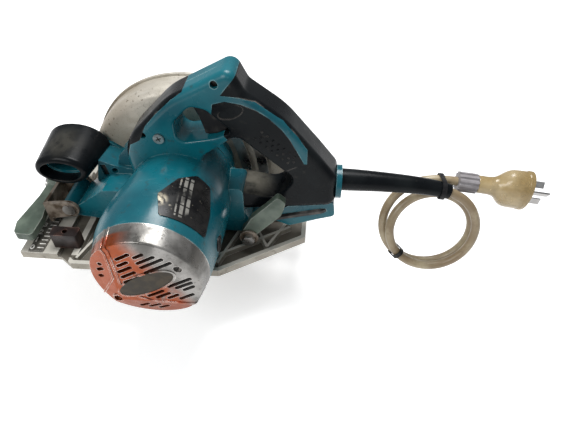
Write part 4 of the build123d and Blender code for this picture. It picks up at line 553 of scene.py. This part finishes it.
def close_to(tree, centre, inner, outer):
    """Mask that is full within the inner distance of a point and fades to the outer one."""
    made = tree.nodes.new("ShaderNodeVectorMath")
    made.operation = "DISTANCE"
    made.inputs[1].default_value = centre
    tree.links.new(place_on(tree), made.inputs[0])
    return ramp(tree, made.outputs["Value"], outer, inner)


def either(tree, first, second):
    """Mask of the places where one mask or the other is."""
    return combine(tree, "MAXIMUM", first, second)


lower_arm_sheen = close_to(tree, (0.066, -0.056, 0.064), inner=0.006, outer=0.028)
knob_top_sheen = close_to(tree, (-0.110, -0.048, 0.092), inner=0.006, outer=0.026)
painted_sheen = either(tree, lower_arm_sheen, both(tree, knob_top_sheen, KNOB_SHEEN_SHARE))
painted_sheen = both(tree, painted_sheen, facing(tree, (0, -0.25, 0.97), low=0.35, high=0.95))
painted_sheen = both(tree, painted_sheen, patches(tree, scale=90, detail=8, low=0.20, high=0.60))
# Painted sheen: a pale grey on the upward tops of the lower arm and the knob, where the lamp catches them.
paint(tree, shader, stained(tree, tone, painted_sheen, strength=0.6, colour=(0.22, 0.205, 0.165)))
put_on(rubber, "grip_side_pad", "rear_grip", "front_arm_pad", "front_knob_rubber", "cord_guard")

# %% [markdown]
# The trigger, the lock button, the brush caps and the cord's ties are hard black plastic. The carbon brushes
# are as dark and hardly seen, so they take it too.
# It could share the rubber's finish, but it has no dust and no worn tops, so it gets its own plain one.

# %% Black plastic
black, tree, shader = start_finish("black_plastic", (0.012, 0.012, 0.013), roughness=0.45, specular=0.2)
paint(tree, shader, mottled(
    tree, base=(0.006, 0.006, 0.007), clouds=(0.034, 0.032, 0.029), scale=120, low=0.5, high=0.75,
))
shine(tree, shader, scale=80, detail=4, smooth=0.35, rough=0.6)
grain(tree, shader, scale=1500, detail=3, strength=0.2, depth=0.0002)
put_on(
    black, "shaft_lock", "motor_fan", "brush_caps", "lower_guard_lever", "trigger", "cord_ties",
    "carbon_brushes",
)

# %% [markdown]
# The upper guard is a bare light metal casting that has gone chalky, with fine speckles, brown stains, long
# rub marks, and a painted shade that makes it darker and browner towards the low front. Full metal would
# mirror the room, which an old casting doesn't, so it is only partly metallic. A mask along a direction says
# where low and front begin.

# %% Upper guard


def beyond(tree, direction, start, end):
    """Mask that rises from start to end, measured in metres along a direction."""
    made = tree.nodes.new("ShaderNodeVectorMath")
    made.operation = "DOT_PRODUCT"
    made.inputs[1].default_value = direction
    tree.links.new(place_on(tree), made.inputs[0])
    return ramp(tree, made.outputs["Value"], start, end)


chalk, tree, shader = start_finish("chalky_casting", (0.40, 0.39, 0.35), roughness=0.5, metallic=0.35)
tone = mottled(tree, base=(0.42, 0.39, 0.325), clouds=(0.55, 0.52, 0.455), scale=26)
specks = patches(tree, scale=1300, detail=3, low=0.56, high=0.70)
tone = stained(tree, tone, specks, strength=0.45, colour=(0.13, 0.115, 0.085))
# Painted shade: the guard turns darker and browner towards the low front.
low_front_shade = beyond(tree, (1, 0, 0.5), start=0.070, end=-0.030)
tone = stained(tree, tone, low_front_shade, strength=0.5, colour=(0.27, 0.205, 0.135))
spots = patches(tree, scale=330, detail=6, low=0.60, high=0.66)
stains = both(tree, spots, patches(tree, scale=22, detail=3, low=0.40, high=0.58))
tone = stained(tree, tone, stains, strength=0.75, colour=(0.10, 0.075, 0.045))
rub = patches(tree, scale=60, detail=3, low=0.58, high=0.70, stretch=(1, 5, 1))
paint(tree, shader, stained(tree, tone, rub, strength=0.25, colour=(0.62, 0.60, 0.55)))
shine(tree, shader, scale=90, detail=5, smooth=0.34, rough=0.58)
grain(tree, shader, scale=800, detail=4, strength=0.3, depth=0.0004)
put_on(chalk, "upper_guard")

# %% [markdown]
# The base and the lower guard are the same kind of metal, greyer and dirtier. The pockets between the ribs
# of the base are painted dark as painted shade, and the tops of the ribs are painted pale as painted
# highlight.
# Pockets and ribs could be two pieces, but they differ in height, so the height and the way that a face
# looks are enough to tell them apart.

# %% Base and lower guard
POCKET_HEIGHTS = (0.0062, 0.0030)
RIB_HEIGHTS = (0.0070, 0.0078)
UP = (0, 0, 1)
cast, tree, shader = start_finish("grey_casting", (0.26, 0.25, 0.21), roughness=0.55, metallic=0.25)
tone = mottled(tree, base=(0.27, 0.245, 0.20), clouds=(0.42, 0.39, 0.33), scale=35)
dirt = patches(tree, scale=150, detail=8, low=0.56, high=0.74)
tone = stained(tree, tone, dirt, strength=0.6, colour=(0.085, 0.068, 0.045))
upward = facing(tree, UP, low=0.6, high=0.9)
# Painted shade: a dark colour on the low faces that face up, in the pockets between the ribs.
pocket_shade = both(tree, upward, beyond(tree, UP, *POCKET_HEIGHTS))
tone = stained(tree, tone, pocket_shade, strength=0.82, colour=(0.068, 0.058, 0.043))
# Painted highlight: a pale colour on the high faces that face up, on the tops of the ribs.
rib_top_highlight = both(tree, upward, beyond(tree, UP, *RIB_HEIGHTS))
tone = stained(tree, tone, rib_top_highlight, strength=0.7, colour=(0.58, 0.56, 0.50))
edges = on_edges(tree, width=0.0014)
paint(tree, shader, stained(tree, tone, edges, strength=0.7, colour=(0.55, 0.54, 0.50)))
shine(tree, shader, scale=90, detail=5, smooth=0.42, rough=0.66)
grain(tree, shader, scale=700, detail=4, strength=0.35, depth=0.0004)
put_on(cast, "lower_guard", "base_plate", "bevel_quadrant")

# %% [markdown]
# The rip scale is a dark strip on the front of the base, so that its pale marks can be read.
# One dark finish would make it flat. Bare edges show that it is a separate thin piece of metal.

# %% Dark ground of the scale
ground, tree, shader = start_finish("scale_ground", (0.060, 0.055, 0.046), roughness=0.5, metallic=0.3)
tone = mottled(
    tree, base=(0.040, 0.036, 0.030), clouds=(0.095, 0.088, 0.074), scale=160, low=0.38, high=0.66,
)
edges = on_edges(tree, width=0.0010)
paint(tree, shader, stained(tree, tone, edges, strength=0.6, colour=(0.40, 0.38, 0.34)))
grain(tree, shader, scale=700, detail=4, strength=0.2, depth=0.0003)
put_on(ground, "rip_scale")

# %% [markdown]
# The end cover of the motor is a bright casting with a copper tint on the side away from the handle.
# The tint covers the front face and not the rim, so two masks along two directions are multiplied, and
# clouds make its border uneven. Pits and rubbed edges go over both colours.

# %% Motor end cover
cover, tree, shader = start_finish("tinted_cover", (0.4, 0.38, 0.36), roughness=0.3, metallic=0.75)
copper_side = beyond(tree, (-0.85, 0, -0.53), start=-0.052, end=-0.034)
front_face = beyond(tree, (0, -1, 0), start=0.1635, end=0.1665)
patch = both(tree, copper_side, front_face)
patch = both(tree, patch, patches(tree, scale=60, detail=6, low=0.16, high=0.36))
tone = mottled(tree, base=(0.11, 0.106, 0.098), clouds=(0.30, 0.29, 0.275), scale=45)
tone = tint(tree, patch, tone, (0.27, 0.054, 0.012))
pits = patches(tree, scale=420, detail=4, low=0.60, high=0.70)
tone = stained(tree, tone, pits, strength=0.5, colour=(0.07, 0.06, 0.055))
tone = rubbed_edges(tree, tone, (0.72, 0.68, 0.64), width=0.0010, scale=80, low=0.36, high=0.56)
paint(tree, shader, tone)
shine(tree, shader, scale=120, detail=6, smooth=0.20, rough=0.45)
grain(tree, shader, scale=600, detail=4, strength=0.2, depth=0.0003)
put_on(cover, "motor_end_cover")

# %% [markdown]
# The oval badge on the cover is a plain plate, enamelled in a dull olive.
# It could share the cover's finish, but enamel isn't metal. Its two olives are close to each other, since
# enamel hardly changes with age.

# %% Badge
olive, tree, shader = start_finish("olive_badge", (0.030, 0.021, 0.009), roughness=0.45, specular=0.25)
paint(tree, shader, mottled(
    tree, base=(0.020, 0.014, 0.006), clouds=(0.045, 0.031, 0.014), scale=150, low=0.4, high=0.7,
))
grain(tree, shader, scale=900, detail=3, strength=0.15, depth=0.0002)
put_on(olive, "end_cover_badge")

# %% [markdown]
# The plate on the barrel is a dark foil with rows of blank ruled fields.
# The fields could be cut as meshes, but they are printed flat on a curved plate, so they are a mask:
# bands along one direction, cut into even cells along the other by a value that goes up and down.

# %% Plate: blank fields
ROW_BANDS = ((0.0104, 0.0116), (0.0136, 0.0162), (0.0178, 0.0202))
ROW_WAY = (1, 0.08, 0)
CELL_WAY = (0, 1, 0)
LINE_SOFT = 0.0001
GAP_PARTS = (0.35, 0.65)


def cells(tree, direction, pitch, gap):
    """Mask of even cells along a direction, with a gap between each cell and the next."""
    along = tree.nodes.new("ShaderNodeVectorMath")
    along.operation = "DOT_PRODUCT"
    along.inputs[1].default_value = direction
    tree.links.new(place_on(tree), along.inputs[0])
    made = tree.nodes.new("ShaderNodeMath")
    made.operation = "PINGPONG"
    tree.links.new(along.outputs["Value"], made.inputs[0])
    made.inputs[1].default_value = pitch / 2
    return ramp(tree, made.outputs[0], gap * GAP_PARTS[0], gap * GAP_PARTS[1])


plate, tree, shader = start_finish(
    "worn_plate", (0.02, 0.02, 0.021), roughness=0.4, metallic=0.3, specular=0.3,
)
fields = 0.0
for row_start, row_end in ROW_BANDS:
    from_start = beyond(tree, ROW_WAY, row_start - LINE_SOFT, row_start + LINE_SOFT)
    to_end = beyond(tree, ROW_WAY, row_end + LINE_SOFT, row_end - LINE_SOFT)
    fields = either(tree, fields, both(tree, from_start, to_end))
fields = both(tree, fields, cells(tree, CELL_WAY, pitch=0.0095, gap=0.0012))
fields = both(tree, fields, beyond(tree, CELL_WAY, start=-0.1452, end=-0.1446))
fields = both(tree, fields, beyond(tree, CELL_WAY, start=-0.1010, end=-0.1016))
fields = both(tree, fields, patches(tree, scale=70, detail=4, low=0.34, high=0.52))
print("plate fields in", len(ROW_BANDS), "rows")

# %% [markdown]
# One corner of the foil has peeled and small chips are missing, so the paler metal comes through.
# Both are masks again: a distance from the corner, broken by clouds, and the tops of a finer cloud pattern.

# %% Plate: worn corner
CHIP_SHARE = 0.5
peeled = close_to(tree, (0.0085, -0.1335, 0.1056), inner=0.0025, outer=0.0085)
peeled = both(tree, peeled, patches(tree, scale=260, detail=6, low=0.38, high=0.54))
chips = patches(tree, scale=230, detail=6, low=0.66, high=0.72)
bare = either(tree, peeled, both(tree, chips, CHIP_SHARE))
tone = mottled(
    tree, base=(0.008, 0.008, 0.009), clouds=(0.022, 0.021, 0.020), scale=60, low=0.4, high=0.7,
)
tone = stained(tree, tone, fields, strength=0.8, colour=(0.33, 0.32, 0.29))
paint(tree, shader, tint(tree, bare, tone, (0.46, 0.41, 0.31)))
shine(tree, shader, scale=120, detail=6, smooth=0.22, rough=0.38)
grain(tree, shader, scale=500, detail=4, strength=0.08, depth=0.0002)
put_on(plate, "rating_plate")

# %% [markdown]
# Shafts, gears, bolts and the blade are turned or ground steel. Tools leave fine lines on it, and rust starts
# in spots. Real lines could be cut as grooves, but they are hair thin, so the clouds of the shine and the
# grain are squeezed in one direction instead.

# %% Plain steel
steel, tree, shader = start_finish("plain_steel", (0.42, 0.42, 0.42), roughness=0.32, metallic=1.0)
tone = mottled(tree, base=(0.32, 0.31, 0.30), clouds=(0.52, 0.52, 0.51), scale=60)
rust = patches(tree, scale=130, detail=8, low=0.60, high=0.76)
paint(tree, shader, stained(tree, tone, rust, strength=0.35, colour=(0.14, 0.075, 0.04)))
shine(tree, shader, scale=90, detail=4, smooth=0.24, rough=0.42, stretch=(1, 8, 1))
grain(tree, shader, scale=900, detail=2, strength=0.12, depth=0.0002, stretch=(1, 12, 1))
put_on(
    steel, "end_cover_screws", "spindle", "spindle_gear", "inner_flange", "outer_flange", "blade_bolt",
    "spindle_bearings", "motor_bearings", "armature_shaft", "armature_core", "field_stator",
    "lower_guard_spring", "pivot_pin", "hinge_pins", "depth_guide", "depth_bolt", "bevel_bolt", "blade",
    "plug_pins",
)

# %% [markdown]
# The blade key is hardened and blackened. It is still steel under the black, so it stays mostly metallic.
# A black paint would look dead beside it.

# %% Dark steel
dark, tree, shader = start_finish("dark_steel", (0.05, 0.05, 0.052), roughness=0.4, metallic=0.8)
paint(tree, shader, mottled(tree, base=(0.030, 0.029, 0.029), clouds=(0.085, 0.080, 0.075), scale=120))
grain(tree, shader, scale=900, detail=3, strength=0.15, depth=0.0002)
put_on(dark, "hex_key")

# %% [markdown]
# The handle's screws come as one node: a bright pan head on the front arm and three that sit deep in holes.
# The sunk ones are painted nearly black, a painted shade for the depth of their holes. They could be a second
# piece, but a mask along the saw's width already tells deep from proud.

# %% Handle screws
SUNK_DEPTHS = (-0.0722, -0.0714)
screws, tree, shader = start_finish("handle_screw_steel", (0.42, 0.42, 0.42), roughness=0.35, metallic=1.0)
tone = mottled(tree, base=(0.30, 0.29, 0.28), clouds=(0.50, 0.50, 0.49), scale=200)
sunk_shade = beyond(tree, (0, 1, 0), *SUNK_DEPTHS)
# Painted shade: the screws deep in their holes are painted nearly black.
paint(tree, shader, tint(tree, sunk_shade, tone, (0.022, 0.020, 0.018)))
grain(tree, shader, scale=900, detail=3, strength=0.12, depth=0.0002)
put_on(screws, "handle_screws")

# %% [markdown]
# The front bracket and the washer are pressed steel, rusted all over. One brown would be too even for that,
# so brown and grey meet in fine clouds. Rust scatters light, so the surface is rough and only half metallic,
# with a strong grain, and bare metal shows on the rubbed edges.

# %% Rusted steel
rusty, tree, shader = start_finish("rusted_steel", (0.10, 0.06, 0.035), roughness=0.65, metallic=0.55)
tone = mottled(
    tree, base=(0.085, 0.058, 0.036), clouds=(0.30, 0.25, 0.20), scale=90, detail=8, low=0.38, high=0.62,
)
tone = rubbed_edges(tree, tone, (0.40, 0.38, 0.35), width=0.0012, scale=80, low=0.45, high=0.6)
paint(tree, shader, tone)
shine(tree, shader, scale=150, detail=6, smooth=0.45, rough=0.8)
grain(tree, shader, scale=500, detail=6, strength=0.5, depth=0.0005)
put_on(rusty, "front_bracket", "depth_washer")

# %% [markdown]
# Inside the motor, the brush holders are brass and the bars of the commutator are copper.
# They are hardly seen, so two clouded metals are enough. The copper's clouds are squeezed, because the
# brushes draw lines round it.

# %% Brass and copper
brass, tree, shader = start_finish("dull_brass", (0.45, 0.30, 0.12), roughness=0.35, metallic=1.0)
paint(tree, shader, mottled(tree, base=(0.36, 0.22, 0.08), clouds=(0.52, 0.37, 0.16), scale=110))
grain(tree, shader, scale=900, detail=3, strength=0.12, depth=0.0002)
put_on(brass, "brush_holders")

copper, tree, shader = start_finish("copper_bars", (0.50, 0.22, 0.11), roughness=0.3, metallic=1.0)
paint(tree, shader, mottled(
    tree, base=(0.38, 0.15, 0.07), clouds=(0.58, 0.28, 0.15), scale=140, detail=5, stretch=(1, 6, 1),
))
grain(tree, shader, scale=900, detail=3, strength=0.12, depth=0.0002)
put_on(copper, "commutator")

# %% [markdown]
# The two clamp levers carry a grey green paint that is dirty and rubbed paler on its edges.
# The rubbed edges could be modelled, but they are as thin as the paint, so they are colour alone.
# Paint isn't metallic, even on steel, so the shader's metallic value stays at nothing.

# %% Painted levers
green, tree, shader = start_finish("lever_paint", (0.085, 0.115, 0.088), roughness=0.5)
tone = mottled(tree, base=(0.050, 0.072, 0.053), clouds=(0.105, 0.136, 0.104), scale=55)
dirt = patches(tree, scale=170, detail=8, low=0.58, high=0.72)
tone = stained(tree, tone, dirt, strength=0.55, colour=(0.040, 0.034, 0.024))
tone = rubbed_edges(tree, tone, (0.32, 0.34, 0.30), width=0.0016, scale=80, low=0.40, high=0.6)
paint(tree, shader, tone)
shine(tree, shader, scale=100, detail=5, smooth=0.38, rough=0.62)
grain(tree, shader, scale=700, detail=4, strength=0.25, depth=0.0004)
put_on(green, "depth_lever", "bevel_lever")

# %% [markdown]
# The clamp block of the fence is painted a very dark red brown. It is so dark that its shape is read from
# the shine and the rubbed edges alone, so it is glossier than the levers.

# %% Painted clamp block
maroon, tree, shader = start_finish("clamp_paint", (0.020, 0.007, 0.005), roughness=0.35, specular=0.3)
tone = mottled(
    tree, base=(0.007, 0.003, 0.0025), clouds=(0.026, 0.011, 0.008), scale=90, low=0.4, high=0.7,
)
tone = rubbed_edges(tree, tone, (0.16, 0.09, 0.07), width=0.0012, scale=90, low=0.45, high=0.6)
paint(tree, shader, tone)
shine(tree, shader, scale=110, detail=5, smooth=0.25, rough=0.5)
grain(tree, shader, scale=700, detail=4, strength=0.2, depth=0.0003)
put_on(maroon, "fence_clamp_block")

# %% [markdown]
# The cord's cream sheath has browned with grime.
# A cord's pattern often follows its length through a UV map. This grime has no direction, so the clouds on
# Object coordinates do as well here.

# %% Cream sheath
cream, tree, shader = start_finish("cream_sheath", (0.33, 0.26, 0.155), roughness=0.4)
tone = mottled(tree, base=(0.225, 0.165, 0.095), clouds=(0.38, 0.315, 0.205), scale=40)
dirt = patches(tree, scale=180, detail=8, low=0.57, high=0.76)
paint(tree, shader, stained(tree, tone, dirt, strength=0.35, colour=(0.12, 0.075, 0.035)))
shine(tree, shader, scale=90, detail=5, smooth=0.26, rough=0.42)
grain(tree, shader, scale=900, detail=3, strength=0.10, depth=0.0002)
mains_cord.data.materials.append(cream)
print(cream.name, "on the cord")

# %% [markdown]
# The fluted nut behind the plug is grey plastic, and the switch inside the handle can share it.
# The plug itself is clear plastic gone amber. Glass would be too clear: part of the light goes through, and
# the rest shows the clouded colour.

# %% Nut and clear plug
PLUG_CLEAR = 0.35
PLUG_IOR = 1.46
nut_grey, tree, shader = start_finish("grey_nut", (0.27, 0.255, 0.265), roughness=0.5)
paint(tree, shader, mottled(tree, base=(0.21, 0.195, 0.20), clouds=(0.33, 0.315, 0.325), scale=90))
grain(tree, shader, scale=900, detail=3, strength=0.15, depth=0.0002)
put_on(nut_grey, "plug_gland_nut", "trigger_switch")

amber, tree, shader = start_finish("amber_plug", (0.48, 0.36, 0.18), roughness=0.2)
shader.inputs["Transmission Weight"].default_value = PLUG_CLEAR
shader.inputs["IOR"].default_value = PLUG_IOR
paint(tree, shader, mottled(tree, base=(0.37, 0.265, 0.115), clouds=(0.53, 0.42, 0.24), scale=45, detail=5))
shine(tree, shader, scale=120, detail=4, smooth=0.14, rough=0.3)
grain(tree, shader, scale=400, detail=3, strength=0.1, depth=0.0002)
plug_shell.data.materials.append(amber)
print(amber.name, "on the plug")

# %% [markdown]
# The lower half of the grip has three rows of small round bumps, which keep a wet hand from slipping.
# They could be bump in the finish, but they catch the light on their sides, so they are shapes.
# One bump is a sphere that is pressed flat and cut off just under the rubber's face.

# %% One bump of the grip
BUMP_R = 0.0011
BUMP_FLAT = 0.75
BUMP_SUNK = 0.0002
bpy.ops.object.select_all(action="DESELECT")
bpy.ops.mesh.primitive_uv_sphere_add(segments=16, ring_count=10, radius=BUMP_R)
bump = bpy.context.object
bpy.ops.object.mode_set(mode="EDIT")
bpy.ops.mesh.select_all(action="SELECT")
bpy.ops.transform.resize(value=(1, BUMP_FLAT, 1))
bpy.ops.mesh.bisect(plane_co=(0, BUMP_SUNK, 0), plane_no=(0, 1, 0), clear_outer=True, use_fill=True)
bpy.ops.object.mode_set(mode="OBJECT")
bpy.ops.object.shade_smooth_by_angle(angle=SMOOTH_BELOW)
print("bump faces", len(bump.data.polygons))

# %% [markdown]
# The rows follow the edge of the hand opening, and every second row is shifted by half a step.
# An array modifier could repeat the bump, but the shift is easier in a list of places.
# Each copy has its own mesh, and the copies are joined into one piece that sits at the origin.

# %% Rows of bumps
BUMP_FACE = -0.0720
EDGE_START = Vector((0.060, 0, 0.123))
ALONG = Vector((0.751, 0, -0.661))
ACROSS = Vector((0.661, 0, 0.751))
ROW_INSETS = (0.0092, 0.0137, 0.0182)
ROW_SHIFT = 0.003
ROW_BUMPS = 7
FIRST_BUMP = 0.013
BUMP_STEP = 0.006


def together(made):
    """Joins objects into one that sits at the origin."""
    bpy.ops.object.select_all(action="DESELECT")
    for piece in made:
        piece.select_set(True)
    bpy.context.view_layer.objects.active = made[0]
    bpy.ops.object.join()
    bpy.ops.object.transform_apply(location=True, rotation=True, scale=True)
    return bpy.context.object


def copies(model, places):
    """Copies a finished model to each place and joins the copies. The model itself goes."""
    made = []
    for place in places:
        bpy.ops.object.select_all(action="DESELECT")
        model.select_set(True)
        bpy.context.view_layer.objects.active = model
        bpy.ops.object.duplicate()
        made.append(bpy.context.object)
        made[-1].location = place
    bpy.data.objects.remove(model)
    return together(made)


bump_spots = []
for row, inset in enumerate(ROW_INSETS):
    for step in range(ROW_BUMPS):
        along = FIRST_BUMP + BUMP_STEP * step + ROW_SHIFT * (row % 2)
        spot = EDGE_START + ALONG * along + ACROSS * inset
        bump_spots.append((spot.x, BUMP_FACE, spot.z))
grip_bumps = copies(bump, bump_spots)
grip_bumps.name = "grip_bumps"
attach(grip_bumps, "saw_body")
grip_bumps.data.materials.append(rubber)
print("bumps", len(bump_spots))

# %% [markdown]
# The pan head screw on the front arm is driven by a cross.
# A real cross is cut into the head. Cutting the solid's mesh would spoil it, so the cross is two thin bars
# with bevelled edges in the top of the head, in dark steel as a painted shade for a deep slot.

# %% Cross of the pan head screw
HEAD_SPOT = (-0.006, -0.0736, 0.117)
CROSS_LONG = 0.0050
CROSS_WIDE = 0.0011
CROSS_THICK = 0.0003
CROSS_TURN = radians(25)
bpy.ops.object.select_all(action="DESELECT")
bpy.ops.mesh.primitive_cube_add(size=1, location=HEAD_SPOT)
shaded_screw_cross = bpy.context.object
shaded_screw_cross.name = "shaded_screw_cross"
bpy.ops.object.mode_set(mode="EDIT")
bpy.ops.mesh.select_all(action="SELECT")
bpy.ops.transform.resize(value=(CROSS_LONG, CROSS_THICK, CROSS_WIDE), center_override=HEAD_SPOT)
bpy.ops.mesh.bevel(offset=CROSS_THICK / 4, segments=1)
bpy.ops.mesh.duplicate()
bpy.ops.transform.rotate(value=radians(90), orient_axis="Y", center_override=HEAD_SPOT)
bpy.ops.mesh.select_all(action="SELECT")
bpy.ops.transform.rotate(value=CROSS_TURN, orient_axis="Y", center_override=HEAD_SPOT)
bpy.ops.object.mode_set(mode="OBJECT")
bpy.ops.object.transform_apply(location=True, rotation=True, scale=True)
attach(shaded_screw_cross, "saw_body")
# The dark finish is a painted shade that stands for the depth of the slot.
shaded_screw_cross.data.materials.append(dark)
print("cross faces", len(shaded_screw_cross.data.polygons))

# %% [markdown]
# The scale on the front of the base has plain numbers for the width of a rip cut.
# They could be drawn by a picture on the strip, but a mesh stays sharp at any distance.
# Each number is a text object with a little thickness, turned into a mesh before its place is applied.

# %% Numbers on the scale
SCALE_TOP = 0.0098
FIGURE_X = -0.1405
FIGURE_STEP = 0.010
FIRST_FIGURE = -0.109
FIGURE_COUNT = 4
FIGURE_SIZE = 0.0080
FIGURE_THICK = 0.0003
FIGURE_SWELL = 0.00012
figures = []
for number in range(FIGURE_COUNT):
    bpy.ops.object.select_all(action="DESELECT")
    bpy.ops.object.text_add(location=(FIGURE_X, FIRST_FIGURE + FIGURE_STEP * number, SCALE_TOP))
    figure = bpy.context.object
    figure.data.body = str(number)
    figure.data.size = FIGURE_SIZE
    figure.data.extrude = FIGURE_THICK
    figure.data.offset = FIGURE_SWELL
    figure.data.align_y = "CENTER"
    bpy.ops.object.convert(target="MESH")
    figures.append(bpy.context.object)
print("figures", len(figures))

# %% [markdown]
# Beside the numbers stand short marks, one at each number and one between.
# One bar is shaped from a cube with bevelled edges and copied, as the bumps were, and the numbers join it.
# The white of numbers and marks is chalky paint that has gone grey in places.

# %% Marks on the scale
MARK_X = -0.1305
MARK_SIZE = (0.006, 0.0010, 0.0006)
MARK_BEVEL = 0.0001
MARK_COUNT = 8
chalk_white, tree, shader = start_finish("white_marks", (0.62, 0.60, 0.55), roughness=0.6)
paint(tree, shader, mottled(
    tree, base=(0.72, 0.70, 0.66), clouds=(0.42, 0.40, 0.36), scale=200, low=0.4, high=0.7,
))
bpy.ops.object.select_all(action="DESELECT")
bpy.ops.mesh.primitive_cube_add(size=1)
mark = bpy.context.object
bpy.ops.object.mode_set(mode="EDIT")
bpy.ops.mesh.select_all(action="SELECT")
bpy.ops.transform.resize(value=MARK_SIZE)
bpy.ops.mesh.bevel(offset=MARK_BEVEL, segments=1)
bpy.ops.object.mode_set(mode="OBJECT")
mark_spots = [(MARK_X, FIRST_FIGURE + FIGURE_STEP / 2 * step, SCALE_TOP) for step in range(MARK_COUNT)]
marks = copies(mark, mark_spots)
scale_figures = together(figures + [marks])
scale_figures.name = "scale_figures"
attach(scale_figures, "base")
scale_figures.data.materials.clear()
scale_figures.data.materials.append(chalk_white)
print("marks", len(mark_spots))
